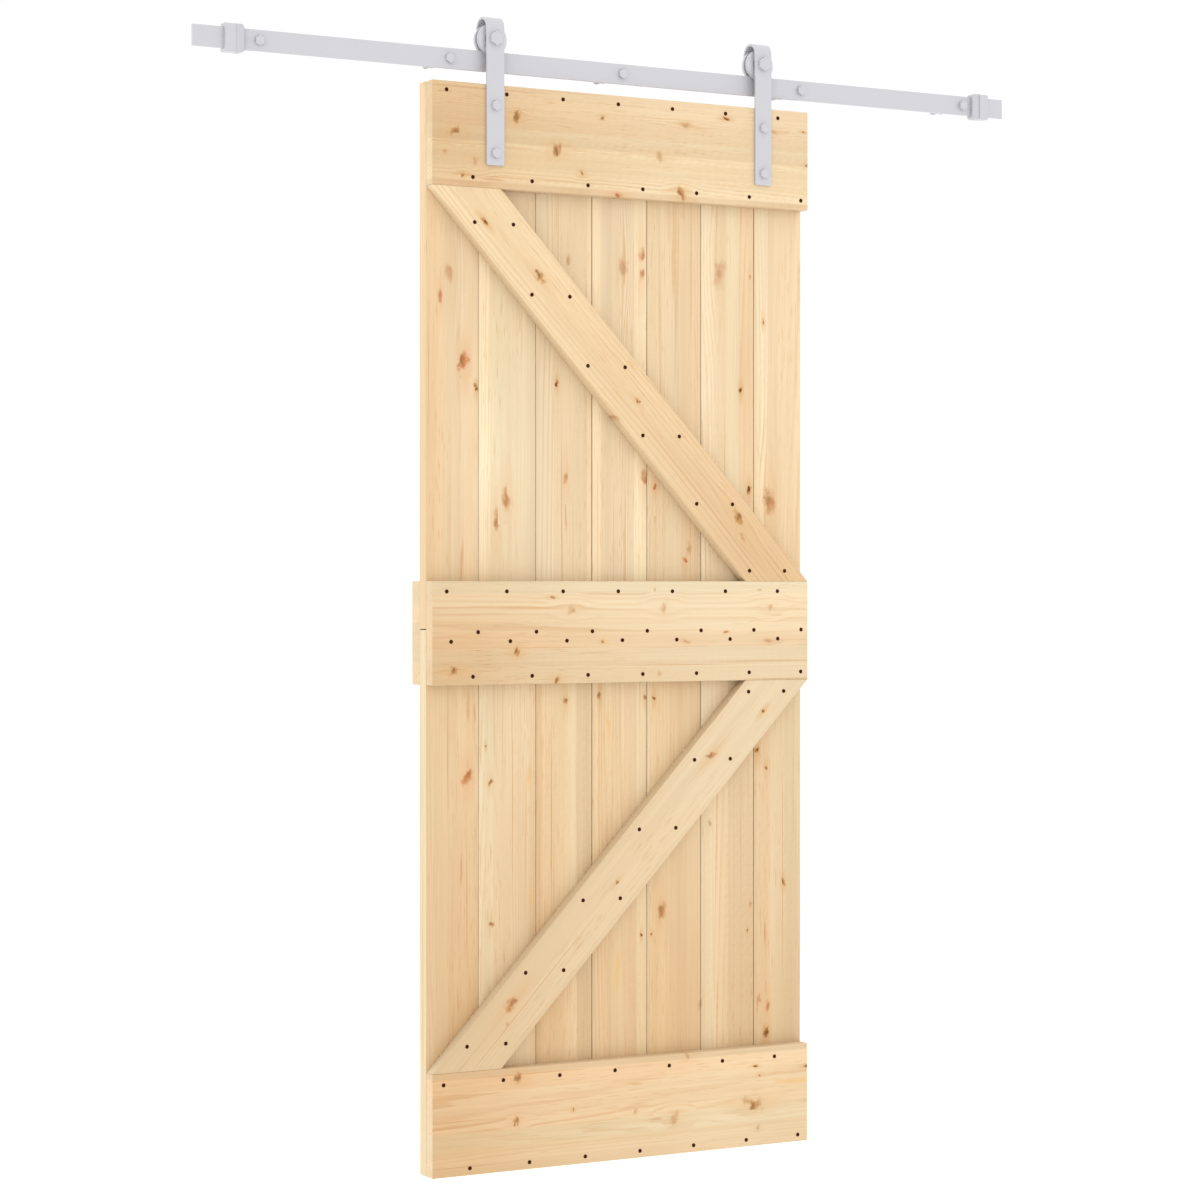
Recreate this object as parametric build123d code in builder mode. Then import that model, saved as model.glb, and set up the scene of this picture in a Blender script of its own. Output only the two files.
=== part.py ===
"""Sliding plank door on a flat wall track.

Millimetres. The origin is where the middle wall bolt meets the wall. +X runs along the rail to the right,
+Y goes into the wall and +Z is up, so the room is at -Y.
"""

import os
from math import cos, pi

from build123d import *

# Track: a flat bar held off the wall by spacers
rail_length = 1830
rail_height = 40
rail_thickness = 6
rail_shift = 10
spacer_length = 76
spacer_radius = 8
bolt_shares = (-0.4224, -0.2077, 0, 0.2284, 0.4492)

# Wall bolts: hex heads, plain shanks and threaded ends
hex_sides = 6
wall_head_across = 17
wall_head_height = 6.4
wall_shank_radius = 4.5
wall_thread_radius = 5
wall_thread_length = 38

# End stops: a steel collar on the rail, a rubber bumper on its inner side and set screws at its back
left_stop_inset = 61
right_stop_inset = 43
collar_width = 21
collar_height = 53
collar_wall = 9
collar_chamfer = 2.5
bumper_width = 17.5
bumper_round = 6
bumper_inset = 2
set_screw_radius = 3
set_screw_spacing = 20
set_screw_socket = 3
set_screw_socket_depth = 3

# Wheels: grooved rollers on sealed bearings
groove_radius = 22
flange_height = 9
wheel_width = 22
groove_width = 7
flange_chamfer = 1.5
bearing_radius = 16
bearing_width = 10
inner_ring_wall = 3

# Strap hangers: a flat strip bent over the wheel
strap_width = 38
strap_thickness = 5
strap_bend_radius = 19
strap_rise = 20
strap_lap = 156
strap_corner = 3
rear_leg_overhang = 19
rear_leg_corner_share = 0.37
left_strap_share = 0.157
right_strap_share = 0.1287

# Strap bolts, axles and their nuts
strap_head_across = 17
strap_head_height = 6.4
strap_bolt_radius = 5
strap_bolt_drop = 41
strap_bolt_inset = 23
axle_head_across = 24
axle_head_height = 7
axle_radius = 6
sleeve_wall = 2.5
nut_flange_lip = 2.5
nut_flange_height = 2
strap_nut_height = 8
axle_nut_across = 19
axle_nut_height = 10
bolt_end_length = 3

# Door leaf: planks with rails and braces on the front and one batten at the back
door_width = 850
door_height = 2100
door_drop = 26
front_board_thickness = 28
plank_thickness = 28
plank_count = 7
plank_pitch_share = 1 / 6.8
tongue_length = 8
tongue_thickness = 8
groove_spare = 1
plank_gap = 0.6
half_gap = 2
plank_arris = 0.8
board_arris = 1.5
top_rail_height = 200
middle_rail_height = 200
middle_rail_drop = 7
bottom_rail_height = 200
batten_height = 200
batten_thickness = 34
brace_foot = 148

# Wood screws
screw_head_radius = 4
screw_shank_radius = 2.2
screw_sides = 8
screw_stand = 0.4
screw_cover = 6

# Screw rows on each rail: share of the rail's height, then shares of the door's width for the first plank,
# the first and last inner planks, and the last plank
top_row_shares = (
    (0.915, 0.036, 0.188, 0.769, 0.915),
    (0.095, 0.102, 0.253, 0.835, 0.980),
)
middle_row_shares = (
    (0.900, 0.036, 0.188, 0.769, 0.914),
    (0.508, 0.115, 0.264, 0.848, 0.981),
    (0.418, 0.047, 0.197, 0.782, 0.915),
    (0.080, 0.102, 0.253, 0.835, 0.980),
)
bottom_row_shares = (
    (0.890, 0.028, 0.179, 0.761, 0.906),
    (0.070, 0.094, 0.246, 0.827, 0.972),
)

# Screw pairs on the braces: shares of the cut end's width, and of the way down for the first and last pair
brace_across_shares = (0.19, 0.755)
upper_brace_down_shares = (0.089, 0.972)
lower_brace_down_shares = (0.031, 0.935)
brace_pairs = 6

# Clearances
rolling_gap = 0.3
running_clearance = 0.05
hole_clearance = 0.25
slot_clearance = 0.2

# Places along Y, from the wall out into the room
rail_back = -spacer_length
rail_front = rail_back - rail_thickness
rail_middle = rail_back - rail_thickness / 2
door_front = rail_middle - strap_bend_radius
plank_front = door_front + front_board_thickness
plank_back = plank_front + plank_thickness
strap_front = door_front - strap_thickness
rear_leg_front = rail_middle + strap_bend_radius
rear_leg_back = rear_leg_front + strap_thickness

# Places along Z
rail_top = rail_height / 2
axle_height = rail_top + groove_radius + rolling_gap
strap_bend_height = axle_height + strap_rise
door_top = -rail_height / 2 - door_drop
door_bottom = door_top - door_height
half_joint = door_bottom + door_height / 2
middle_rail_middle = half_joint - middle_rail_drop
top_rail_bottom = door_top - top_rail_height
middle_rail_top = middle_rail_middle + middle_rail_height / 2
middle_rail_bottom = middle_rail_middle - middle_rail_height / 2
bottom_rail_top = door_bottom + bottom_rail_height
strap_bottom = door_top - strap_lap
strap_bolt_heights = (door_top - strap_bolt_drop, strap_bottom + strap_bolt_inset)

# Places along X
rail_left = rail_shift - rail_length / 2
rail_right = rail_shift + rail_length / 2
door_left = -door_width / 2
door_right = door_width / 2
bolt_places = [(share * rail_length, 0) for share in bolt_shares]
plank_pitch = plank_pitch_share * door_width
strap_middles = {
    "left": door_left + left_strap_share * door_width,
    "right": door_right - right_strap_share * door_width,
}
all_strap_bolts = [(x, z) for x in strap_middles.values() for z in strap_bolt_heights]

os.makedirs("parts", exist_ok=True)


def write(piece, name):
    """Label a finished piece and write it as its own STEP file."""
    piece.part.label = name
    export_step(piece.part, f"parts/{name}.step")


def facing(y):
    """Plane square to the wall's normal at depth y, with its own normal pointing into the room."""
    return Plane.XZ.offset(-y)


def plank_edges(number):
    """Left and right joint lines of a plank, counted from 1 at the left."""
    inner_left = -plank_pitch * (plank_count - 2) / 2
    left = door_left if number == 1 else inner_left + plank_pitch * (number - 2) + plank_gap / 2
    right = door_right if number == plank_count else inner_left + plank_pitch * (number - 1) - plank_gap / 2
    return left, right


def plank(number, bottom, top):
    """Upright board with a groove in its left edge and a tongue on its right edge."""
    left, right = plank_edges(number)
    middle = (plank_front + plank_back) / 2
    groove_depth = tongue_length + groove_spare
    groove_height = tongue_thickness + 2 * slot_clearance
    with BuildPart() as board:
        with BuildSketch(Plane.XY.offset(bottom)):
            with Locations(((left + right) / 2, middle)):
                Rectangle(right - left, plank_thickness)
        extrude(amount=top - bottom)
        long_edges = board.edges().filter_by(Axis.Z)
        chamfer(long_edges, length=plank_arris)
        if number > 1:
            with BuildSketch(Plane.XY.offset(bottom)):
                with Locations((left, middle)):
                    Rectangle(groove_depth, groove_height, align=(Align.MIN, Align.CENTER))
            extrude(amount=top - bottom, mode=Mode.SUBTRACT)
        if number < plank_count:
            with BuildSketch(Plane.XY.offset(bottom)):
                with Locations((right, middle)):
                    Rectangle(tongue_length, tongue_thickness, align=(Align.MIN, Align.CENTER))
            extrude(amount=top - bottom)
        if top == door_top:
            with BuildSketch(facing(plank_front)):
                with Locations(*all_strap_bolts):
                    Circle(strap_bolt_radius + hole_clearance)
            extrude(amount=-plank_thickness, mode=Mode.SUBTRACT)
    return board


def cross_board(bottom, height, front, thickness, shows_front=True, bolts=()):
    """Level board across the whole door, with its showing edges eased and any bolt holes drilled through."""
    with BuildPart() as board:
        with BuildSketch(facing(front)):
            with Locations((0, bottom + height / 2)):
                Rectangle(door_width, height)
        extrude(amount=-thickness)
        showing = board.faces().sort_by(Axis.Y)[0 if shows_front else -1]
        chamfer(showing.edges(), length=board_arris)
        if bolts:
            with BuildSketch(facing(front)):
                with Locations(*bolts):
                    Circle(strap_bolt_radius + hole_clearance)
            extrude(amount=-thickness, mode=Mode.SUBTRACT)
    return board


def brace(top, top_left, bottom, bottom_left):
    """Sloping board between two rails, cut level at both ends."""
    with BuildPart() as board:
        with BuildSketch(facing(door_front)):
            with BuildLine():
                Polyline(
                    (top_left, top),
                    (top_left + brace_foot, top),
                    (bottom_left + brace_foot, bottom),
                    (bottom_left, bottom),
                    close=True,
                )
            make_face()
        extrude(amount=-front_board_thickness)
        chamfer(board.faces().sort_by(Axis.Y)[0].edges(), length=board_arris)
    return board


def row_places(bottom, height, rows):
    """Screw places on a rail: one for each plank in every row."""
    places = []
    steps = plank_count - 3
    for up, first, second, next_to_last, last in rows:
        inner = [second + (next_to_last - second) * step / steps for step in range(steps + 1)]
        places += [(door_left + share * door_width, bottom + up * height) for share in (first, *inner, last)]
    return places


def brace_places(top, top_left, bottom, bottom_left, down_shares):
    """Screw places on a brace: pairs spread evenly along it."""
    first, last = down_shares
    places = []
    for pair in range(brace_pairs):
        down = first + (last - first) * pair / (brace_pairs - 1)
        edge = top_left + (bottom_left - top_left) * down
        height = top + (bottom - top) * down
        places += [(edge + across * brace_foot, height) for across in brace_across_shares]
    return places


def wood_screws(places, depth):
    """Countersunk screws that end short of the back of the wood that they hold."""
    sunk_depth = (screw_head_radius - screw_shank_radius) * cos(pi / screw_sides)
    with BuildPart() as screws:
        with BuildSketch(facing(door_front - screw_stand)):
            with Locations(*places):
                RegularPolygon(screw_head_radius, screw_sides)
        extrude(amount=-(screw_stand + sunk_depth))
        chamfer(screws.faces().group_by(Axis.Y)[-1].edges(), length=sunk_depth)
        with BuildSketch(facing(door_front + sunk_depth)):
            with Locations(*places):
                RegularPolygon(screw_shank_radius, screw_sides)
        extrude(amount=-(depth - screw_cover - sunk_depth))
    return screws


def hex_bolts(places, head_across, head_height, shank_radius, shank_length):
    """Hex bolts whose heads bear on the front of a strap and whose shanks point to the wall."""
    with BuildPart() as bolts:
        with BuildSketch(facing(strap_front)):
            with Locations(*places):
                RegularPolygon(head_across / 2, hex_sides, major_radius=False)
        extrude(amount=head_height)
        with BuildSketch(facing(strap_front)):
            with Locations(*places):
                Circle(shank_radius)
        extrude(amount=-shank_length)
    return bolts


def flange_nuts(places, seat, across, height, bore_radius):
    """Hex nuts with a round flange that bears on the face at depth seat."""
    with BuildPart() as nuts:
        with BuildSketch(facing(seat)):
            with Locations(*places):
                Circle(across / 2 + nut_flange_lip)
        extrude(amount=-nut_flange_height)
        with BuildSketch(facing(seat + nut_flange_height)):
            with Locations(*places):
                RegularPolygon(across / 2, hex_sides, major_radius=False)
        extrude(amount=-(height - nut_flange_height))
        with BuildSketch(facing(seat)):
            with Locations(*places):
                Circle(bore_radius + running_clearance)
        extrude(amount=-height, mode=Mode.SUBTRACT)
    return nuts


def rings(places, spans, outer_radius, inner_radius):
    """Round sleeves or rings on the axles: one at every place for each span of depth."""
    with BuildPart() as sleeves:
        for front, back in spans:
            with BuildSketch(facing(front)):
                with Locations(*places):
                    Circle(outer_radius)
                    Circle(inner_radius, mode=Mode.SUBTRACT)
            extrude(amount=front - back)
    return sleeves


def strap(middle):
    """Flat strip that runs up the door's face, over the wheel and down behind it to the axle."""
    rear_end = axle_height - rear_leg_overhang
    outer_radius = strap_bend_radius + strap_thickness
    with BuildPart() as strip:
        with BuildSketch(Plane.YZ.offset(middle)):
            with BuildLine():
                front_face = Line((strap_front, strap_bottom), (strap_front, strap_bend_height))
                crown = ThreePointArc(
                    front_face @ 1,
                    (rail_middle, strap_bend_height + outer_radius),
                    (rear_leg_back, strap_bend_height),
                )
                rear_leg = Polyline(
                    crown @ 1,
                    (rear_leg_back, rear_end),
                    (rear_leg_front, rear_end),
                    (rear_leg_front, strap_bend_height),
                )
                inside = ThreePointArc(
                    rear_leg @ 1,
                    (rail_middle, strap_bend_height + strap_bend_radius),
                    (door_front, strap_bend_height),
                )
                Polyline(inside @ 1, (door_front, strap_bottom), front_face @ 0)
            make_face()
        extrude(amount=strap_width / 2, both=True)
        fillet(strip.edges().filter_by(Axis.Y).group_by(Axis.Z)[0], radius=strap_corner)
        rear_corners = strip.edges().filter_by(Axis.Y).filter_by_position(Axis.Z, rear_end, rear_end)
        fillet(rear_corners, radius=rear_leg_corner_share * strap_width)
        with BuildSketch(facing(strap_front)):
            with Locations(*[(middle, height) for height in strap_bolt_heights]):
                Circle(strap_bolt_radius + hole_clearance)
        extrude(amount=-strap_thickness, mode=Mode.SUBTRACT)
        with BuildSketch(facing(strap_front)):
            with Locations((middle, axle_height)):
                Circle(axle_radius + hole_clearance)
        extrude(amount=strap_front - rear_leg_back, mode=Mode.SUBTRACT)
    return strip


def wheel(middle):
    """Roller with a groove for the rail and a bore for the bearing."""
    half = wheel_width / 2
    flange_radius = groove_radius + flange_height
    rear_half = [
        (groove_width / 2, groove_radius),
        (groove_width / 2, flange_radius),
        (half - flange_chamfer, flange_radius),
        (half, flange_radius - flange_chamfer),
        (half, bearing_radius + running_clearance),
    ]
    front_half = [(-across, radius) for across, radius in reversed(rear_half)]
    centre = (middle, rail_middle, axle_height)
    with BuildPart() as roller:
        with BuildSketch(Plane(origin=centre, x_dir=(0, 1, 0), z_dir=(1, 0, 0))):
            with BuildLine():
                Polyline(*rear_half, *front_half, close=True)
            make_face()
        revolve(axis=Axis(centre, (0, 1, 0)))
    return roller


def rail_slot():
    """Outline of the hole that lets a stop slide along the rail."""
    with BuildSketch(Plane.YZ.offset(rail_left)) as slot:
        with Locations((rail_middle, 0)):
            Rectangle(rail_thickness + 2 * slot_clearance, rail_height + 2 * slot_clearance)
    return slot.sketch


def stop_collar(outer_side, inward):
    """Steel block that closes round the rail, with holes for its set screws at the back."""
    with BuildPart() as collar:
        with BuildSketch(Plane.YZ.offset(outer_side)) as outline:
            with Locations((rail_middle, 0)):
                Rectangle(rail_thickness + 2 * collar_wall, collar_height)
            chamfer(outline.vertices(), length=collar_chamfer)
        extrude(amount=inward * collar_width)
        extrude(rail_slot(), amount=rail_length, mode=Mode.SUBTRACT)
        with BuildSketch(facing(rail_back + collar_wall)):
            with Locations(*set_screw_places(outer_side, inward)):
                Circle(set_screw_radius + running_clearance)
        extrude(amount=collar_wall, mode=Mode.SUBTRACT)
    return collar


def set_screw_places(outer_side, inward):
    """The two screws stand one above the other in the middle of the collar."""
    middle = outer_side + inward * collar_width / 2
    return [(middle, -set_screw_spacing / 2), (middle, set_screw_spacing / 2)]


def set_screws(places):
    """Headless screws with hex sockets, tight against the back of the rail."""
    with BuildPart() as screws:
        with BuildSketch(facing(rail_back)):
            with Locations(*places):
                Circle(set_screw_radius)
        extrude(amount=-collar_wall)
        with BuildSketch(facing(rail_back + collar_wall)):
            with Locations(*places):
                RegularPolygon(set_screw_socket / 2, hex_sides, major_radius=False)
        extrude(amount=set_screw_socket_depth, mode=Mode.SUBTRACT)
    return screws


def bumper(outer_side, inward):
    """Rubber block on the inner side of a collar, rounded where the wheel meets it."""
    start = outer_side + inward * collar_width
    front = rail_front - collar_wall + bumper_inset
    back = rail_back + collar_wall - bumper_inset
    with BuildPart() as block:
        with BuildSketch(facing(front)) as outline:
            with Locations((start + inward * bumper_width / 2, 0)):
                Rectangle(bumper_width, collar_height)
            corners = outline.vertices().sort_by(Axis.X)
            fillet(corners[-2:] if inward > 0 else corners[:2], radius=bumper_round)
        extrude(amount=front - back)
        extrude(rail_slot(), amount=rail_length, mode=Mode.SUBTRACT)
    return block


# Track
with BuildPart() as rail:
    with BuildSketch(facing(rail_front)):
        with Locations((rail_shift, 0)):
            Rectangle(rail_length, rail_height)
        with Locations(*bolt_places):
            Circle(wall_thread_radius + hole_clearance, mode=Mode.SUBTRACT)
    extrude(amount=-rail_thickness)
write(rail, "rail")

with BuildPart() as wall_spacers:
    with BuildSketch(facing(rail_back)):
        with Locations(*bolt_places):
            Circle(spacer_radius)
            Circle(wall_thread_radius + hole_clearance, mode=Mode.SUBTRACT)
    extrude(amount=-spacer_length)
write(wall_spacers, "wall_spacers")

with BuildPart() as wall_bolts:
    with BuildSketch(facing(rail_front)):
        with Locations(*bolt_places):
            RegularPolygon(wall_head_across / 2, hex_sides, major_radius=False)
    extrude(amount=wall_head_height)
    with BuildSketch(facing(rail_front)):
        with Locations(*bolt_places):
            Circle(wall_shank_radius)
    extrude(amount=rail_front)
    with BuildSketch(facing(0)):
        with Locations(*bolt_places):
            Circle(wall_thread_radius)
    extrude(amount=-wall_thread_length)
write(wall_bolts, "wall_bolts")

stop_screw_places = []
for side, outer_side, inward in (
    ("left", rail_left + left_stop_inset, 1),
    ("right", rail_right - right_stop_inset, -1),
):
    write(stop_collar(outer_side, inward), f"{side}_stop_collar")
    write(bumper(outer_side, inward), f"{side}_stop_bumper")
    stop_screw_places += set_screw_places(outer_side, inward)
write(set_screws(stop_screw_places), "stop_screws")

# Hangers
axle_places = [(middle, axle_height) for middle in strap_middles.values()]
axle_bore_radius = axle_radius + running_clearance
inner_ring_radius = axle_bore_radius + inner_ring_wall
race_radius = inner_ring_radius + running_clearance
bearing_front = rail_middle - bearing_width / 2
bearing_back = rail_middle + bearing_width / 2
bearing_span = [(bearing_front, bearing_back)]
sleeve_spans = [(door_front, bearing_front), (bearing_back, rear_leg_front)]
strap_bolt_length = plank_back + strap_nut_height + bolt_end_length - strap_front
axle_length = rear_leg_back + axle_nut_height + bolt_end_length - strap_front

for side, middle in strap_middles.items():
    write(strap(middle), f"{side}_strap")
    write(wheel(middle), f"{side}_wheel")
    outer_ring = rings([(middle, axle_height)], bearing_span, bearing_radius, race_radius)
    write(outer_ring, f"{side}_bearing_outer_ring")

write(rings(axle_places, bearing_span, inner_ring_radius, axle_bore_radius), "bearing_inner_rings")
write(rings(axle_places, sleeve_spans, axle_bore_radius + sleeve_wall, axle_bore_radius), "axle_sleeves")
write(hex_bolts(axle_places, axle_head_across, axle_head_height, axle_radius, axle_length), "axle_bolts")
write(flange_nuts(axle_places, rear_leg_back, axle_nut_across, axle_nut_height, axle_radius), "axle_nuts")
write(
    hex_bolts(all_strap_bolts, strap_head_across, strap_head_height, strap_bolt_radius, strap_bolt_length),
    "strap_bolts",
)
write(
    flange_nuts(all_strap_bolts, plank_back, strap_head_across, strap_nut_height, strap_bolt_radius),
    "strap_nuts",
)

# Door leaf
for number in range(1, plank_count + 1):
    write(plank(number, half_joint + half_gap / 2, door_top), f"upper_plank_{number}")
    write(plank(number, door_bottom, half_joint - half_gap / 2), f"lower_plank_{number}")

batten_bottom = middle_rail_middle - batten_height / 2
write(
    cross_board(top_rail_bottom, top_rail_height, door_front, front_board_thickness, bolts=all_strap_bolts),
    "top_rail",
)
write(cross_board(middle_rail_bottom, middle_rail_height, door_front, front_board_thickness), "middle_rail")
write(cross_board(door_bottom, bottom_rail_height, door_front, front_board_thickness), "bottom_rail")
middle_batten = cross_board(batten_bottom, batten_height, plank_back, batten_thickness, shows_front=False)
write(middle_batten, "middle_batten")

upper_brace_ends = (top_rail_bottom, door_left, middle_rail_top, door_right - brace_foot)
lower_brace_ends = (middle_rail_bottom, door_right - brace_foot, bottom_rail_top, door_left)
write(brace(*upper_brace_ends), "upper_brace")
write(brace(*lower_brace_ends), "lower_brace")

# Wood screws
front_depth = front_board_thickness + plank_thickness
full_depth = front_depth + batten_thickness
for name, places, depth in (
    ("top_rail_screws", row_places(top_rail_bottom, top_rail_height, top_row_shares), front_depth),
    ("middle_rail_screws", row_places(middle_rail_bottom, middle_rail_height, middle_row_shares), full_depth),
    ("bottom_rail_screws", row_places(door_bottom, bottom_rail_height, bottom_row_shares), front_depth),
    ("upper_brace_screws", brace_places(*upper_brace_ends, upper_brace_down_shares), front_depth),
    ("lower_brace_screws", brace_places(*lower_brace_ends, lower_brace_down_shares), front_depth),
):
    write(wood_screws(places, depth), name)
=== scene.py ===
"""Sliding plank door on a flat wall track, drawn over its CAD frame.

Metres. The origin is where the middle wall bolt meets the wall. +X runs along the rail to the right,
+Y goes into the wall and +Z is up. Each operator builds one group of like pieces.
"""

import math
from collections import namedtuple

import bmesh
import bpy
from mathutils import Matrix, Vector


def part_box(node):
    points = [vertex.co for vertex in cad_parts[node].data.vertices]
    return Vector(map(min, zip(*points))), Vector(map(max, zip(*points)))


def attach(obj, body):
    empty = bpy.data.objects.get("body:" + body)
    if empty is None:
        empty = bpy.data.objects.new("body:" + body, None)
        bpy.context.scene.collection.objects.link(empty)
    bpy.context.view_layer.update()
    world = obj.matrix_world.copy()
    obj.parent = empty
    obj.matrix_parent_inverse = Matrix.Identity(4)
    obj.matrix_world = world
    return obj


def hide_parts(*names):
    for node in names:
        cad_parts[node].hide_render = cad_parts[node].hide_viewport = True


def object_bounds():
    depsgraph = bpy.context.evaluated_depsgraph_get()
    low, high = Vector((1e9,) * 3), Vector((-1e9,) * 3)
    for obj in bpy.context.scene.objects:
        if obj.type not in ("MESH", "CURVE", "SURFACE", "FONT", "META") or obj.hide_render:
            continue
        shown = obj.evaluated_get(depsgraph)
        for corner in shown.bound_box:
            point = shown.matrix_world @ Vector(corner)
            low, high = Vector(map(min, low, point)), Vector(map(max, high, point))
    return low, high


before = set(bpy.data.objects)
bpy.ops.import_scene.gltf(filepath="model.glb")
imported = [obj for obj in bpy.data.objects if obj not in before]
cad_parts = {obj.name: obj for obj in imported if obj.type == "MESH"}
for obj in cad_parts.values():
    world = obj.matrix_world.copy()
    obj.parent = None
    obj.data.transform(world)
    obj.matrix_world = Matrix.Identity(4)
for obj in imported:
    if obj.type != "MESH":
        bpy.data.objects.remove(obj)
CAD_LOW, CAD_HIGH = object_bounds()

bl_info = {
    "name": "Sliding plank door",
    "version": (1, 0, 0),
    "blender": (4, 5, 0),
    "location": "View3D > Sidebar > Plank door",
    "description": "Builds a sliding plank door with its wall track and strap hangers",
    "category": "Add Mesh",
}

MM = 0.001
RIGHT = Vector((1, 0, 0))
INWARD = Vector((0, 1, 0))
UP = Vector((0, 0, 1))
SIDES = ("left", "right")

# Kinds of marks in the wood. Redness is below zero for golden resin. Heart is how dark the middle is,
# cover is how much the body hides the wood, and stretch is how long the mark is along the grain.
Kind = namedtuple("Kind", "redness heart cover stretch")
Knot = namedtuple("Knot", "along across radius kind")
KINDS = {
    "brown": Kind(0.25, 0.48, 0.82, 1.1),
    "dark": Kind(0.2, 1.0, 0.9, 1.15),
    "red": Kind(1.0, 0.42, 0.95, 1.2),
    "rosy": Kind(0.65, 0.35, 0.75, 1.25),
    "spike": Kind(0.35, 0.5, 0.78, 0.5),
    "smear": Kind(0.35, 0.1, 0.46, 0.55),
    "soft": Kind(0.5, 0.12, 0.5, 1.5),
    "swirl": Kind(0.9, 0.25, 0.72, 2.0),
    "streak": Kind(0.7, 0.0, 0.5, 9.0),
    "resin": Kind(-1.0, 0.0, 0.55, 4.5),
}

# Where the photo shows them on the planks and on the boards in front: X, Z and radius in millimetres
PLANK_KNOTS = {
    "brown": (
        (-46, -1229, 5), (-287, -1394, 5), (58, -1235, 5), (342, -1383, 4), (-286, -1668, 6),
        (298, -1712, 3), (-121, -1238, 6),
    ),
    "dark": (
        (-317, -630, 4.5), (-141, -615, 4), (-121, -828, 3), (281, -615, 4.5), (301, -818, 5),
        (-297, -1323, 2), (79, -1237, 4), (321, -1346, 6), (384, -1617, 4), (343, -1922, 7),
        (-247, -835, 3), (50, -1708, 3),
    ),
    "red": (
        (-345, -580, 11), (336, -475, 3), (80, -815, 5), (-337, -1382, 10), (73, -1708, 3),
        (151, -960, 5),
    ),
    "rosy": ((350, -840, 13), (96, -1664, 12)),
    "soft": (
        (-376, -412, 12), (-115, -372, 7), (7, -379, 13), (232, -380, 15), (304, -385, 4),
        (209, -1492, 4), (305, -1660, 4), (187, -1855, 5), (325, -1855, 7), (160, -938, 7),
    ),
    "swirl": (
        (-394, -455, 5), (-252, -845, 10), (-272, -880, 9), (58, -798, 8), (-121, -800, 6),
        (52, -352, 8), (52, -392, 6), (346, -1868, 6),
    ),
    "streak": (
        (-349, -965, 4), (-350, -1560, 3), (-121, -880, 3), (340, -1725, 3), (82, -860, 3),
        (-335, -1250, 3),
    ),
    "resin": ((-4, -1770, 7), (-202, -1386, 6), (-196, -1622, 6), (-25, -1291, 6)),
}
FRONT_KNOTS = {
    "brown": (
        (-379, -141, 8), (422, -155, 4), (414, -87, 3), (-165, -1035, 3), (-379, -1176, 9),
        (296, -2061, 13), (-192, -411, 8), (25, -646, 5), (259, -874, 9), (-21, -1597, 4),
    ),
    "dark": (
        (272, -2050, 4), (300, -1985, 3), (421, -1993, 3), (-312, -311, 5), (318, -1266, 4),
        (230, -73, 4),
    ),
    "red": ((-20, -241, 5), (230, -1105, 2.5)),
    "rosy": ((-255, -1821, 11), (198, -1352, 8)),
    "spike": (
        (-244, -104, 13), (-155, -162, 13), (-100, -204, 6), (125, -230, 12), (-155, -1195, 9),
        (-54, -92, 5), (-244, -1140, 11), (-53, -1122, 4), (-240, -1967, 13), (-244, -2050, 10),
        (-119, -2038, 4), (310, -2006, 5), (-360, -224, 6),
    ),
    "smear": (
        (-334, -197, 11), (75, -160, 15), (-398, -181, 7), (75, -1187, 8), (-122, -1060, 11),
        (65, -1020, 5), (85, -1055, 12), (335, -1055, 12), (21, -2051, 8), (110, -2075, 13),
        (140, -1950, 9), (305, -2110, 7),
    ),
    "soft": (
        (136, -92, 7), (345, -92, 4), (310, -1020, 4), (136, -1123, 7), (330, -1124, 6),
        (-25, -680, 4), (270, -915, 5), (-265, -1860, 4),
    ),
    "streak": ((-300, -228, 3), (-370, -165, 3), (70, -2072, 2)),
    "resin": ((392, -2021, 7),),
}
BACK_KNOTS = {
    "brown": ((-330, -1060, 9), (95, -1045, 8), (390, -1080, 5)),
    "dark": ((-120, -1150, 6),),
    "red": ((270, -1140, 10),),
}
FAR_KNOT = Knot(10, 10, 5 * MM, KINDS["soft"])

# How much warmer and darker than the mean the wood is drawn, as the photo shows it, partly its own tone and
# partly painted shade: the lower planks and the bottom rail are darker because the light falls off towards
# the bottom. Below zero is paler. Each board has rows of cells across it, from the left or from below,
# which run from its start to its end.
PLANK_TONES_AND_SHADE = {
    "upper": (
        ((0.7, 0.4, 0.2, 0.0, 0.0), (0.5, -0.4, -0.3, -0.3, -0.3)),
        ((0.1, -1.8, -0.5, -0.5, -0.5), (-0.4, -1.2, -0.8, 0.2, 0.2)),
        ((-1.0, -1.1, -0.3, -0.5, -0.5), (-0.1, -0.1, -0.6, -0.5, -0.5)),
        ((-0.9, -0.8, -0.9, -1.4, -1.4), (-1.2, -1.2, -0.5, -1.2, -1.2)),
        ((0.3, 0.4, -0.1, 0.2, 0.2), (0.1, 0.0, -0.2, -0.5, -0.5)),
        ((-0.9, -1.2, -1.6, -1.6, -1.6), (-0.2, -0.2, 0.3, -0.2, -0.2)),
        ((-0.1, -0.1, -0.6, -0.5, -0.5), (0.1, -0.3, -0.7, -0.5, -0.5)),
    ),
    "lower": (
        ((2.0, 2.0, 1.7, 1.5, 1.6), (2.5, 2.5, 1.3, 0.6, 0.7)),
        ((0.4, 0.4, -0.1, -0.7, -0.4), (0.0, 0.0, 0.7, 0.2, -0.6)),
        ((2.3, 2.3, 1.5, 1.6, 0.8), (1.3, 1.3, 0.5, 0.2, 0.0)),
        ((1.6, 1.6, 1.6, 1.2, 0.8), (1.2, 1.2, 0.4, -0.1, -0.3)),
        ((2.1, 2.1, 1.3, 0.9, 1.3), (2.0, 2.0, 1.0, 0.3, 0.9)),
        ((0.4, 0.4, -0.2, -0.4, -1.2), (1.4, 1.4, 0.5, 0.1, 0.1)),
        ((1.1, 1.1, 0.4, 0.4, 0.4), (1.5, 1.5, 0.8, 0.5, 0.5)),
    ),
}
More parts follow.
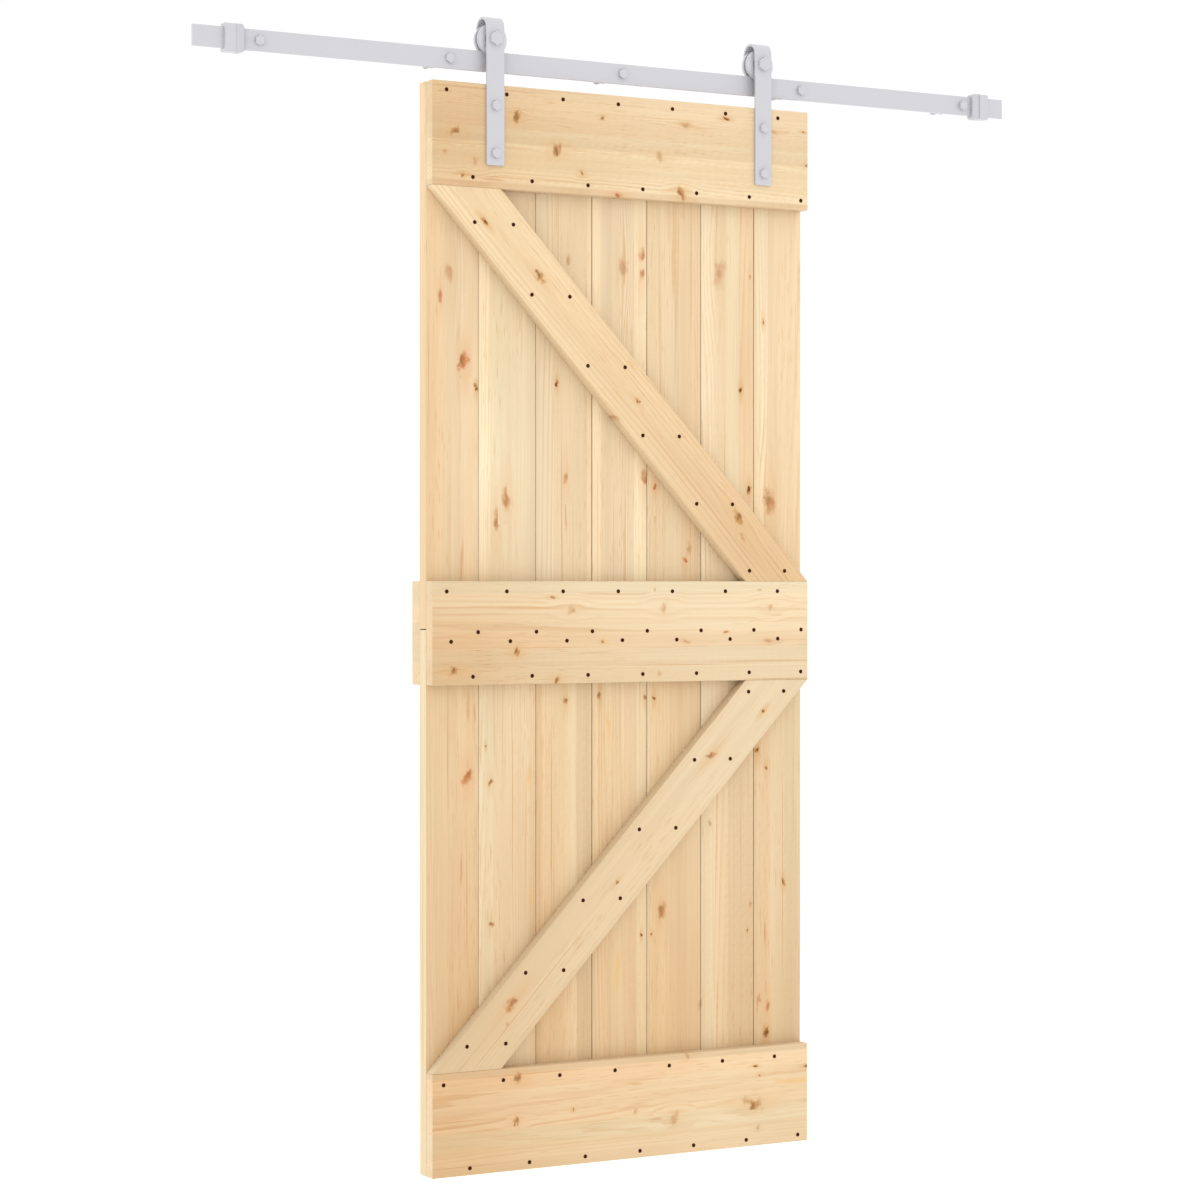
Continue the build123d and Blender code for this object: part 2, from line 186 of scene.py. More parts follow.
BOARD_TONES_AND_SHADE = {
    "top_rail": (
        (1.6, 0.9, 0.7, -0.2, 0.0, 0.0),
        (1.9, 1.0, 0.7, 0.4, 0.2, -0.1),
        (1.1, 0.3, -0.3, -0.9, -1.0, -1.0),
    ),
    "middle_rail": (
        (1.5, 0.3, -0.2, -0.5, -0.9, -1.0),
        (1.7, 0.8, 0.0, -0.7, -1.1, -0.9),
        (0.1, -0.3, -1.1, -1.5, -1.4, -1.3),
    ),
    "bottom_rail": (
        (2.1, 1.4, 0.7, 0.6, 0.1, 0.2),
        (2.1, 1.1, 1.0, 0.5, 0.2, 0.6),
        (1.8, 1.2, 0.5, 0.7, 0.0, -0.3),
    ),
    "upper_brace": ((0.2, 0.3, 0.7, 0.8, 1.4, 2.0),),
    "lower_brace": ((-0.8, -0.7, 0.0, 0.1, 0.5, 1.0),),
    "middle_batten": ((0.0,),),
}
# Painted light: the sides and ends of the boards are drawn paler than their faces, as if lit from the side
SIDE_PAINTED_LIGHT = -0.35

# Marks in the meshes that the wood's shader reads
GRAIN = "grain"
BOARD = "board"
KNOT = "knot"
KIND = "knot_kind"
VECTOR = "FLOAT_VECTOR"
SEAM = "seam"
SHADE = "seam_shade"
TONE_AND_SHADE = "tone"
NO_SEAM = 10.0
ONE_STRIP = 0.4
BOARD_STEP = 20 * MM
FIRST_BOARD_SEED = 31

# What is drawn on a board: its number, tones with painted shade, knots, width of strips, and its seams with
# their shades
Figure = namedtuple(
    "Figure", "seed tone knots strip seams shades", defaults=((-NO_SEAM, NO_SEAM), (1.0, 1.0)))

# How the planks fit together
TONGUE = 8 * MM
GROOVE = 9 * MM
HALF_TONGUE = 4 * MM
HALF_GROOVE = 4.2 * MM
PLANK_EASE = 0.8 * MM

# How far from its first point a bolt's or a screw's other points lie, and how round a shank is drawn
BOLT_REACH = 40 * MM
SCREW_REACH = 8 * MM
SHANK_SEGMENTS = 32

# Noise in the wood: waves per metre along the grain and across it, and how many times finer waves are added
WAVES = {
    "bend": (1.1, 4.0, 1.0),
    "wander": (3.0, 160.0, 3.0),
    "strength": (0.8, 30.0, 2.0),
    "fibre": (9.0, 1300.0, 3.0),
    "streak": (0.5, 28.0, 2.0),
    "thread": (0.9, 230.0, 3.0),
    "redline": (1.5, 190.0, 1.5),
    "cloud": (1.6, 9.0, 2.0),
    "fleck": (22.0, 420.0, 1.0),
}

# Smooth steps in the shaders: where each starts and ends, and its values there
STEPS = {
    "push": (0.2, 3.0, 0.92, 0.0),
    "late_rise": (0.4, 0.9, 0.0, 1.0),
    "late_fall": (0.91, 1.0, 1.0, 0.0),
    "strength": (0.4, 0.82, 0.04, 0.8),
    "redline": (0.66, 0.78, 0.0, 0.7),
    "fleck": (0.6, 0.74, 0.0, 0.5),
    "flecked_cloud": (0.4, 0.62, 0.1, 1.0),
    "halo": (0.3, 2.0, 1.0, 0.0),
    "heart": (0.2, 0.7, 1.0, 0.0),
    "worn": (0.52, 0.62, 0.0, 0.15),
}

# How the glued strips vary in width and are shifted from board to board, and how far apart seeds lie
STRIP_SWAY = 16.5 * MM
SWAY_TURNS = 61.0
STRIP_SHIFT = 0.37
STRIP_SEED = 40.0
BOARD_SEED = 3.7
KNOT_SEED = 1e5
ROUGH_SEED = 9000.0

# What chance chooses from in each strip of wood: the pith's place across and behind it in metres, how much
# the pith leans, how wide the rings are, how strong they are, and how bright the strip is
PITH_ACROSS = (-0.14, 0.14)
PITH_DEPTH = (0.03, 0.12)
PITH_LEAN = (-0.03, 0.03)
RING_WIDTH = (0.55, 1.9)
RING_STRENGTH = (0.3, 1.0)
RING_BEND = (-22 * MM, 22 * MM)
RING_WANDER = 0.9
STRIP_SHADE = (0.92, 1.06)

# The same for each knot, in its radii: its slant, its length, where its heart lies and how ragged it is
KNOT_SLANT = (-0.5, 0.5)
KNOT_LENGTH = (0.85, 1.9)
HEART_SHIFT = (-0.35, 0.35)
KNOT_RAGGED = (-0.6, 0.6)
HALO_LENGTH = 3.6
HALO_WIDTH = 1.2

# Brightness from the darkest to the palest part of a noise
FIBRE_SHADE = (0.95, 1.045)
THREAD_SHADE = (0.955, 1.04)
CLOUD_SHADE = (0.96, 1.045)
STREAK_DARK = (0.95, 0.915, 0.87, 1.0)
STREAK_PALE = (1.045, 1.06, 1.075, 1.0)
COAT_CLOUD = (0.993, 1.006)
COAT_PEEL = (0.988, 1.01)
FLOOR_GRAIN = (0.99, 1.0)
TONE_FALLS = (-0.064, -0.11, -0.159)


class PineSettings(bpy.types.PropertyGroup):
    """Looks of the boards."""

    yellow: bpy.props.FloatVectorProperty(
        name="Yellow strip", description="Colour of the yellower strips", subtype="COLOR",
        default=(0.566, 0.4555, 0.292),
    )
    pink: bpy.props.FloatVectorProperty(
        name="Pink strip", description="Colour of the pinker strips", subtype="COLOR",
        default=(0.561, 0.407, 0.249),
    )
    latewood: bpy.props.FloatVectorProperty(
        name="Latewood", description="Colour of the dark part of each year's ring", subtype="COLOR",
        default=(0.42, 0.225, 0.088),
    )
    knot: bpy.props.FloatVectorProperty(
        name="Knot", description="Colour of a brown knot", subtype="COLOR", default=(0.27, 0.122, 0.018)
    )
    red_knot: bpy.props.FloatVectorProperty(
        name="Red knot", description="Colour of a reddish knot", subtype="COLOR",
        default=(0.38, 0.11, 0.03),
    )
    heart: bpy.props.FloatVectorProperty(
        name="Knot heart", description="Colour of a knot's dark middle", subtype="COLOR",
        default=(0.075, 0.026, 0.004),
    )
    halo: bpy.props.FloatVectorProperty(
        name="Knot halo", description="Colour of the wood round a knot", subtype="COLOR",
        default=(0.46, 0.27, 0.1),
    )
    red_halo: bpy.props.FloatVectorProperty(
        name="Red knot halo", description="Colour of the wood round a reddish knot", subtype="COLOR",
        default=(0.52, 0.25, 0.1),
    )
    resin: bpy.props.FloatVectorProperty(
        name="Resin", description="Colour of the golden resin marks", subtype="COLOR",
        default=(0.56, 0.33, 0.1),
    )
    strip_width: bpy.props.FloatProperty(
        name="Strip width", description="Width of the strips that a board is glued from", unit="LENGTH",
        default=0.055,
    )
    seam_shades: bpy.props.FloatVectorProperty(
        name="Seam shades", description="Brightness of the wood at each joint of planks, from the left",
        size=6,
        default=(0.92, 0.82, 0.5, 0.68, 0.68, 0.6), min=0, max=1,
    )
    ring_spacing: bpy.props.FloatProperty(
        name="Ring spacing", description="Distance from one year's ring to the next", unit="LENGTH",
        default=0.0042,
    )
    edge_ease: bpy.props.FloatProperty(
        name="Eased edge", description="Radius of the boards' edges", unit="LENGTH", default=0.0015
    )
    roughness: bpy.props.FloatProperty(
        name="Roughness", description="Roughness of planed wood", subtype="FACTOR",
        default=0.58, min=0, max=1,
    )
    specular: bpy.props.FloatProperty(
        name="Specular", description="Strength of the wood's sheen", subtype="FACTOR",
        default=0.16, min=0, max=1,
    )


class SteelSettings(bpy.types.PropertyGroup):
    """Looks of the metal and the bumpers."""

    coat: bpy.props.FloatVectorProperty(
        name="Coat", description="Colour of the powder coat", subtype="COLOR",
        default=(0.404, 0.401, 0.422),
    )
    coat_roughness: bpy.props.FloatProperty(
        name="Coat roughness", description="Roughness of the powder coat", subtype="FACTOR",
        default=0.42, min=0, max=1,
    )
    plating: bpy.props.FloatVectorProperty(
        name="Plating", description="Colour of the plated nuts and rings", subtype="COLOR",
        default=(0.6, 0.61, 0.63),
    )
    # Paler than the coat: partly the shields' own paint and partly painted light that offsets the shade
    # between the straps' legs
    shield_with_painted_light: bpy.props.FloatVectorProperty(
        name="Shield", description="Colour of the bearings' shields", subtype="COLOR",
        default=(0.72, 0.72, 0.74),
    )
    rubber: bpy.props.FloatVectorProperty(
        name="Bumper", description="Colour of the bumpers", subtype="COLOR",
        default=(0.388, 0.386, 0.407),
    )
    edge_ease: bpy.props.FloatProperty(
        name="Eased edge", description="Radius of the metal's edges", unit="LENGTH", default=0.0007
    )
    thread_pitch: bpy.props.FloatProperty(
        name="Thread pitch", description="Distance between the turns of a bolt's thread", unit="LENGTH",
        default=0.0015,
    )
    wall_thread_pitch: bpy.props.FloatProperty(
        name="Wall thread pitch", description="Distance between the turns of a wall bolt's thread",
        unit="LENGTH",
        default=0.0035,
    )


class ScrewSettings(bpy.types.PropertyGroup):
    """Looks of the wood screws."""

    colour: bpy.props.FloatVectorProperty(
        name="Finish", description="Colour of the dark finish", subtype="COLOR",
        default=(0.04, 0.011, 0.002),
    )
    recess_radius: bpy.props.FloatProperty(
        name="Recess radius", description="Mean radius of the star recess", unit="LENGTH", default=0.0016
    )
    recess_depth: bpy.props.FloatProperty(
        name="Recess depth", description="Depth of the recess, less than the head stands proud",
        unit="LENGTH", default=0.0003,
    )


class StageSettings(bpy.types.PropertyGroup):
    """Camera, floor and light."""

    camera_place: bpy.props.FloatVectorProperty(
        name="Camera", description="Where the photo was taken from", subtype="TRANSLATION",
        default=(-2.9516, -5.3413, -1.013),
    )
    camera_turn: bpy.props.FloatVectorProperty(
        name="Camera turn", description="Which way the camera looks", subtype="EULER",
        default=(math.radians(89.741), 0, math.radians(-28.88)),
    )
    lens: bpy.props.FloatProperty(
        name="Lens", description="Focal length in millimetres on a 36 mm sensor", default=91.37
    )
    floor_gap: bpy.props.FloatProperty(
        name="Floor gap", description="Space between the door and the floor", unit="LENGTH",
        default=0.025,
    )
    floor_colour: bpy.props.FloatVectorProperty(
        name="Floor", description="Colour of the floor", subtype="COLOR", default=(0.93, 0.93, 0.93)
    )
    floor_glow: bpy.props.FloatProperty(
        name="Floor glow", description="Light that the floor gives, so that it stays white", default=0.55
    )
    sky_shown: bpy.props.FloatProperty(
        name="Surround shown", description="Brightness of the white surround as a background",
        default=1.03,
    )
    sky_light: bpy.props.FloatProperty(
        name="Surround light", description="Brightness of the white surround as a light", default=1.6
    )
    floor_radius: bpy.props.FloatProperty(
        name="Floor radius", description="How far the floor reaches before it has faded out", unit="LENGTH",
        default=4.0,
    )


class Graph:
    """A material's nodes, with short calls for the ones used here."""

    def __init__(self, name):
        self.material = bpy.data.materials.new(name)
        self.material.use_nodes = True
        self.tree = self.material.node_tree
        self.tree.nodes.clear()

    def add(self, kind, inputs, **settings):
        """New node with its settings, and its inputs linked or set."""
        node = self.tree.nodes.new(kind)
        for key, value in settings.items():
            setattr(node, key, value)
        for key, value in inputs.items():
            socket = node.inputs[key]
            if isinstance(value, bpy.types.NodeSocket):
                self.tree.links.new(value, socket)
            else:
                socket.default_value = value
        return node

    def math(self, operation, first, second=0.0, third=0.0):
        """One sum on plain values."""
        node = self.add("ShaderNodeMath", {0: first, 1: second, 2: third}, operation=operation)
        return node.outputs[0]

    def mark(self, name, output="Vector"):
        """A mark that the mesh carries."""
        node = self.add("ShaderNodeAttribute", {}, attribute_name=name)
        return node.outputs[output]

    def reach(self, first, second):
        """The length of a flat vector."""
        square = self.math("MULTIPLY", second, second)
        return self.math("SQRT", self.math("MULTIPLY_ADD", first, first, square))

    def split(self, vector):
        """The three parts of a vector."""
        node = self.add("ShaderNodeSeparateXYZ", {0: vector})
        return node.outputs[0], node.outputs[1], node.outputs[2]

    def join(self, x, y, z):
        """A vector from three values."""
        return self.add("ShaderNodeCombineXYZ", {0: x, 1: y, 2: z}).outputs[0]

    def stretch(self, vector, along, across, through):
        """A vector with each part scaled."""
        scales = (along, across, through)
        node = self.add("ShaderNodeVectorMath", {0: vector, 1: scales}, operation="MULTIPLY")
        return node.outputs[0]

    def offset(self, vector, shift):
        """The sum of two vectors."""
        node = self.add("ShaderNodeVectorMath", {0: vector, 1: shift}, operation="ADD")
        return node.outputs[0]

    def noise(self, vector, scale=1.0, detail=2.0):
        """Soft noise from 0 to 1."""
        inputs = {"Vector": vector, "Scale": scale, "Detail": detail}
        return self.add("ShaderNodeTexNoise", inputs).outputs[0]

    def fade(self, value, low, high, start=0.0, end=1.0):
        """A smooth step from start to end as value goes from low to high."""
        inputs = {0: value, 1: low, 2: high, 3: start, 4: end}
        node = self.add("ShaderNodeMapRange", inputs, interpolation_type="SMOOTHSTEP")
        return node.outputs[0]

    def line(self, value, low, high, start=0.0, end=1.0):
        """A straight change from start to end as value goes from low to high."""
        return self.add("ShaderNodeMapRange", {0: value, 1: low, 2: high, 3: start, 4: end}).outputs[0]

    def pick(self, chance, span):
        """A value from a span, by a chance of 0 to 1."""
        return self.line(chance, 0.0, 1.0, *span)

    def shaded(self, colour, noise, span):
        """A colour made darker or paler by a noise."""
        return self.mix(1.0, colour, self.grey(self.line(noise, 0.25, 0.75, *span)), "MULTIPLY")

    def mix(self, share, first, second, blend="MIX"):
        """A blend of two colours."""
        inputs = {0: share, 6: first, 7: second}
        return self.add("ShaderNodeMix", inputs, data_type="RGBA", blend_type=blend).outputs[2]

    def grey(self, value):
        """A value as a colour."""
        node = self.add("ShaderNodeCombineColor", {0: value, 1: value, 2: value})
        return node.outputs[0]

    def finish(self, bump, bump_depth, surface):
        """The surface, with its fine relief, as the material's output."""
        inputs = {"Height": bump, "Distance": bump_depth, "Strength": 1.0}
        relief = self.add("ShaderNodeBump", inputs).outputs[0]
        shader = self.add("ShaderNodeBsdfPrincipled", {**surface, "Normal": relief})
        self.add("ShaderNodeOutputMaterial", {"Surface": shader.outputs[0]})
        return self.material


def opaque(colour):
    """A colour with full cover."""
    return (*colour, 1.0)


def kept(name, make, *args):
    """The material of that name, made on its first use."""
    return bpy.data.materials.get(name) or make(name, *args)


def pine(name, looks):
    """Planed pine from glued strips, with year rings, fibres, streaks, knots, and seams between planks."""
    graph = Graph(name)
    grain = graph.mark(GRAIN)
    board = graph.mark(BOARD, "Fac")
    along, across, through = graph.split(grain)
    seam_left, seam_right, strip_width = graph.split(graph.mark(SEAM))
    left_shade, right_shade, _ = graph.split(graph.mark(SHADE))

    # Glued strips of uneven width, each with chances of its own
    sway = graph.math("SINE", graph.math("MULTIPLY_ADD", across, SWAY_TURNS, board))
    strip_place = graph.math("DIVIDE", graph.math("MULTIPLY_ADD", sway, STRIP_SWAY, across), strip_width)
    strip = graph.math("FLOOR", graph.math("MULTIPLY_ADD", board, STRIP_SHIFT, strip_place))
    dice_place = graph.join(strip, board, 0.0)
    dice = graph.add("ShaderNodeTexWhiteNoise", {"Vector": dice_place}, noise_dimensions="3D")
    first_chance, second_chance, third_chance = graph.split(dice.outputs["Color"])
    fourth_chance = dice.outputs["Value"]
    strip_seed = graph.stretch(dice.outputs["Color"], STRIP_SEED, STRIP_SEED, STRIP_SEED)
    board_seed = graph.join(graph.math("MULTIPLY", board, BOARD_SEED), board, 0.0)

    def waves(kind, seed=strip_seed):
        """One of the noises that run along the grain."""
        lengthways, crossways, detail = WAVES[kind]
        spot = graph.offset(graph.stretch(grain, lengthways, crossways, crossways), seed)
        return graph.noise(spot, 1.0, detail)

    # Year rings about a pith that lies behind the board and leans along it, bent round the nearest knot
    knot = KnotReach(graph, board_seed)
    push = graph.fade(knot.halo, *STEPS["push"])
    bend = graph.pick(waves("bend"), RING_BEND)
    flowing = graph.math("SUBTRACT", across, graph.math("MULTIPLY", knot.across, push))
    sideways = graph.math("SUBTRACT", flowing, graph.pick(first_chance, PITH_ACROSS))
    sideways = graph.math("ADD", sideways, bend)
    inwards = graph.math("SUBTRACT", graph.pick(second_chance, PITH_DEPTH), through)
    inwards = graph.math("MULTIPLY_ADD", along, graph.pick(third_chance, PITH_LEAN), inwards)
    spacing = graph.math("MULTIPLY", graph.pick(fourth_chance, RING_WIDTH), looks.ring_spacing)
    year = graph.math("DIVIDE", graph.reach(sideways, inwards), spacing)
    year = graph.math("FRACT", graph.math("MULTIPLY_ADD", waves("wander"), RING_WANDER, year))
    late = graph.fade(year, *STEPS["late_rise"])
    late = graph.math("MULTIPLY", late, graph.fade(year, *STEPS["late_fall"]))
    strength = graph.fade(waves("strength"), *STEPS["strength"])
    strength = graph.math("MULTIPLY", strength, graph.pick(second_chance, RING_STRENGTH))
    late = graph.math("MULTIPLY", late, strength)

    # Fibres, broad streaks, reddish lines, clouds and short flecks
    fibre = waves("fibre")
    redline = graph.fade(waves("redline"), *STEPS["redline"])
    cloud = waves("cloud", board_seed)
    fleck = graph.fade(waves("fleck"), *STEPS["fleck"])
    fleck = graph.math("MULTIPLY", fleck, graph.fade(cloud, *STEPS["flecked_cloud"]))
    wood = graph.mix(third_chance, opaque(looks.yellow), opaque(looks.pink))
    for share in (late, redline, fleck):
        wood = graph.mix(share, wood, opaque(looks.latewood))
    wood = graph.shaded(wood, fibre, FIBRE_SHADE)
    wood = graph.shaded(wood, waves("thread"), THREAD_SHADE)
    wood = graph.shaded(wood, cloud, CLOUD_SHADE)
    streak = graph.line(waves("streak"), 0.28, 0.72)
    wood = graph.mix(1.0, wood, graph.mix(streak, STREAK_DARK, STREAK_PALE), "MULTIPLY")
    wood = graph.mix(1.0, wood, graph.grey(graph.pick(first_chance, STRIP_SHADE)), "MULTIPLY")
    # Each board's tone with painted shade in it: the lower boards darker as the light falls off towards the
    # bottom, and sides and ends paler as painted light
    warmth_and_shade = graph.mark(TONE_AND_SHADE, "Fac")
    parts = [graph.math("MULTIPLY_ADD", warmth_and_shade, fall, 1.0) for fall in TONE_FALLS]
    warm_and_shaded = graph.add("ShaderNodeCombineColor", dict(enumerate(parts))).outputs[0]
    wood = graph.mix(1.0, wood, warm_and_shaded, "MULTIPLY")

    wood, body = knots_over(graph, wood, knot, looks)

    # Dark line where two planks meet
    left_gap = graph.math("SUBTRACT", across, seam_left)
    right_gap = graph.math("SUBTRACT", seam_right, across)
    for gap, shade in ((left_gap, left_shade), (right_gap, right_shade)):
        seam = graph.fade(gap, 0.3 * MM, 1.4 * MM, shade, 1.0)
        wood = graph.mix(1.0, wood, graph.grey(seam), "MULTIPLY")

    gloss = graph.math("MULTIPLY_ADD", late, -0.16, looks.roughness)
    height = graph.math("MULTIPLY_ADD", fibre, 0.6, graph.math("MULTIPLY", late, 0.5))
    height = graph.math("MULTIPLY_ADD", body, 0.6, height)
    surface = {"Base Color": wood, "Roughness": gloss, "Specular IOR Level": looks.specular}
    return graph.finish(height, 0.12 * MM, surface)


class KnotReach:
    """How near the nearest knot is, in its radii: slanted and ragged for its body, long for its halo."""

    def __init__(self, graph, board_seed):
        self.along, self.across, radius = graph.split(graph.mark(KNOT))
        near_along = graph.math("DIVIDE", self.along, radius)
        knot_seed = graph.math("MULTIPLY", radius, KNOT_SEED)
        dice = graph.add("ShaderNodeTexWhiteNoise", {"W": knot_seed}, noise_dimensions="1D")
        slant_chance, long_chance, dark_chance = graph.split(dice.outputs["Color"])
        rough_seed = graph.math("MULTIPLY", radius, ROUGH_SEED)
        spot = graph.join(near_along, graph.math("DIVIDE", self.across, radius), rough_seed)
        inputs = {"Vector": graph.offset(spot, board_seed), "Scale": 0.85, "Detail": 2.5}
        rough = graph.add("ShaderNodeTexNoise", inputs).outputs["Color"]
        rough_along, rough_across, self.depth = graph.split(rough)
        slanted = graph.math("MULTIPLY_ADD", self.along, graph.pick(slant_chance, KNOT_SLANT), self.across)
        near_across = graph.math("DIVIDE", slanted, radius)
        near_across = graph.math("ADD", near_across, graph.line(rough_across, 0.2, 0.8, *KNOT_RAGGED))
        near_along = graph.math("DIVIDE", near_along, graph.pick(long_chance, KNOT_LENGTH))
        near_along = graph.math("ADD", near_along, graph.line(rough_along, 0.2, 0.8, *KNOT_RAGGED))
        self.body = graph.reach(near_along, near_across)
        self.heart = graph.reach(
            graph.math("ADD", near_along, graph.pick(dark_chance, HEART_SHIFT)),
            graph.math("ADD", near_across, graph.pick(long_chance, HEART_SHIFT)))
        self.halo = graph.reach(
            graph.math("DIVIDE", self.along, graph.math("MULTIPLY", radius, HALO_LENGTH)),
            graph.math("DIVIDE", self.across, graph.math("MULTIPLY", radius, HALO_WIDTH)))


def knots_over(graph, wood, knot, looks):
    """Wood with its knots, and how they cover it: a soft halo, a body with rings, and a dark heart."""
    redness, heart_share, cover = graph.split(graph.mark(KIND))
    red_share = graph.math("MAXIMUM", redness, 0.0)
    gold_share = graph.math("MAXIMUM", graph.math("MULTIPLY", redness, -1.0), 0.0)
    halo_share = graph.math("MULTIPLY_ADD", red_share, 0.14, graph.math("MULTIPLY", heart_share, 0.45))
    halo = graph.math("MULTIPLY", graph.fade(knot.halo, *STEPS["halo"]), halo_share)
    body = graph.fade(knot.body, graph.line(heart_share, 0.0, 1.0, 0.1, 0.7), 1.15, 1.0, 0.0)
    rings = graph.math("FRACT", graph.math("MULTIPLY_ADD", knot.body, 2.7, knot.depth))
    body_shade = graph.mix(red_share, opaque(looks.knot), opaque(looks.red_knot))
    body_shade = graph.mix(graph.math("MULTIPLY", rings, 0.5), body_shade, opaque(looks.halo))
    body_shade = graph.mix(gold_share, body_shade, opaque(looks.resin))
    heart = graph.math("MULTIPLY", graph.fade(knot.heart, *STEPS["heart"]), heart_share)
    halo_shade = graph.mix(red_share, opaque(looks.halo), opaque(looks.red_halo))
    wood = graph.mix(halo, wood, halo_shade)
    wood = graph.mix(graph.math("MULTIPLY", body, cover), wood, body_shade)
    return graph.mix(heart, wood, opaque(looks.heart)), body


def coated(name, colour, roughness, metallic=0.0, grain_scale=420.0, depth=0.05 * MM, specular=0.5):
    """A sprayed, moulded or plated finish: fine peel, faint clouds and paler worn edges."""
    graph = Graph(name)
    place = graph.add("ShaderNodeTexCoord", {}).outputs["Object"]
    peel = graph.noise(place, grain_scale, 3.0)
    edge = graph.add("ShaderNodeNewGeometry", {}).outputs["Pointiness"]
    worn = graph.fade(edge, *STEPS["worn"])
    shade = graph.shaded(opaque(colour), graph.noise(place, 14.0, 3.0), COAT_CLOUD)
    shade = graph.shaded(shade, peel, COAT_PEEL)
    pale = tuple(min(1.0, part * 1.25) for part in colour)
    shade = graph.mix(worn, shade, opaque(pale))
    gloss = graph.line(graph.noise(place, 60.0, 2.0), 0.3, 0.7, roughness - 0.02, roughness + 0.03)
    surface = {"Base Color": shade, "Roughness": gloss, "Metallic": metallic}
    surface["Specular IOR Level"] = specular
    return graph.finish(peel, depth, surface)


def floor_paint(name, colour, radius, glow):
    """Matt white floor with a faint grain, which fades out into the white surround."""
    graph = Graph(name)
    place = graph.add("ShaderNodeTexCoord", {}).outputs["Object"]
    grain = graph.noise(place, 60.0, 3.0)
    shade = graph.shaded(opaque(colour), grain, FLOOR_GRAIN)
    x, y, _ = graph.split(place)
    cover = graph.fade(graph.reach(x, y), 0.25 * radius, 0.95 * radius, 1.0, 0.0)
    surface = {"Base Color": shade, "Roughness": 0.8, "Alpha": cover}
    surface |= {"Emission Color": opaque(colour), "Emission Strength": glow}
    return graph.finish(grain, 0.05 * MM, surface)


def powder_coat(context):
    """The pale grey coat of the steel."""
    looks = context.scene.plank_door_steel
    return kept("powder_coat", coated, tuple(looks.coat), looks.coat_roughness)


def plating(context):
    """The bright plating of nuts, sleeves and rings."""
    looks = context.scene.plank_door_steel
    return kept("zinc_plating", coated, tuple(looks.plating), 0.34, 1.0, 900.0, 0.02 * MM)


def box_of(node):
    """Lowest and highest corner of a CAD node."""
    low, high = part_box(node)
    return Vector(low), Vector(high)


def places_of(node, reach=BOLT_REACH):
    """Middles, seen from the room, of the separate pieces that a CAD node holds."""
    groups = []
    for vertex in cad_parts[node].data.vertices:
        x, _, z = vertex.co
        for group in groups:
            if abs(x - group[0][0]) < reach and abs(z - group[0][1]) < reach:
                group.append((x, z))
                break
        else:
            groups.append([(x, z)])
    middles = []
    for group in groups:
        xs, zs = zip(*group)
        middles.append(((min(xs) + max(xs)) / 2, (min(zs) + max(zs)) / 2))
    return middles


def sweep(mesh, rings, closed=False):
    """Skin over rings of points, with flat ends or joined end to start."""
    rows = [[mesh.verts.new(point) for point in ring] for ring in rings]
    count = len(rows[0])
    pairs = list(zip(rows, rows[1:]))
    if closed:
        pairs.append((rows[-1], rows[0]))
    for here, there in pairs:
        for k in range(count):
            nxt = (k + 1) % count
            mesh.faces.new((here[k], here[nxt], there[nxt], there[k]))
    if not closed:
        mesh.faces.new(reversed(rows[0]))
        mesh.faces.new(rows[-1])


def ring_about(x, z, radius, y, segments):
    """Points round a line along Y, from rules that give the radius and the place along it at each angle."""
    turns = [2 * math.pi * k / segments for k in range(segments)]
    return [Vector((x + radius(t) * math.cos(t), y(t), z + radius(t) * math.sin(t))) for t in turns]


def lathe(mesh, profile, x, z, segments=48):
    """Closed round solid about a line along Y: (radius, y) pairs from the axis to it, or round a bore."""
    bored = profile[0][0] > 0
    rings = [ring_about(x, z, steady(radius), steady(y), segments) for radius, y in profile if radius > 0]
    sweep(mesh, rings, closed=bored)


def wavy(mesh, layers, x, z, segments):
    """Closed solid about a line along Y, from (radius rule, y rule) pairs."""
    sweep(mesh, [ring_about(x, z, radius, y, segments) for radius, y in layers])


def steady(value):
    """A rule that gives one value at every angle."""
    return lambda turn: value


def hex_radius(across):
    """Radius of a hexagon of that width across flats, with two flats level."""
    def radius(turn):
        nearest = (turn - math.pi / 6) % (math.pi / 3) - math.pi / 6
        return across / 2 / math.cos(nearest)
    return radius


def hex_block(mesh, across, seat, top, x, z):
    """Hex head or nut from its seat to its top, with the top's corners turned off."""
    outline = hex_radius(across)
    flat = 0.94 * across / 2
    toward = 1 if top > seat else -1
    slope = math.tan(math.radians(30))
    drop = lambda turn: top - toward * slope * (outline(turn) - flat)
    layers = (
        (steady(0.3 * flat), steady(seat)),
        (outline, steady(seat)),
        (outline, drop),
        (steady(flat), steady(top)),
        (steady(0.3 * flat), steady(top)),
    )
    wavy(mesh, layers, x, z, 72)


def threaded(mesh, radius, depth, pitch, start, end, x, z, point=0.0):
    """Threaded length along Y from start to end, drawn in to a point over its last stretch."""
    steps_per_turn = 6
    steps = max(2, round(abs(end - start) / pitch * steps_per_turn))
    segments = 24
    rings = []
    for step in range(steps + 1):
        y = start + (end - start) * step / steps
        left = abs(end - y)
        narrow = min(1.0, 0.12 + 0.88 * left / point) if point else 1.0
        fading = min(1.0, step / steps_per_turn, (steps - step) / steps_per_turn)
        ring = []
        for k in range(segments):
            turn = 2 * math.pi * k / segments
            wave = abs((step / steps_per_turn - k / segments) % 1.0 - 0.5) * 2
            size = (radius - depth * (1 - wave * fading)) * narrow
            ring.append(Vector((x + size * math.cos(turn), y, z + size * math.sin(turn))))
        rings.append(ring)
    sweep(mesh, rings)


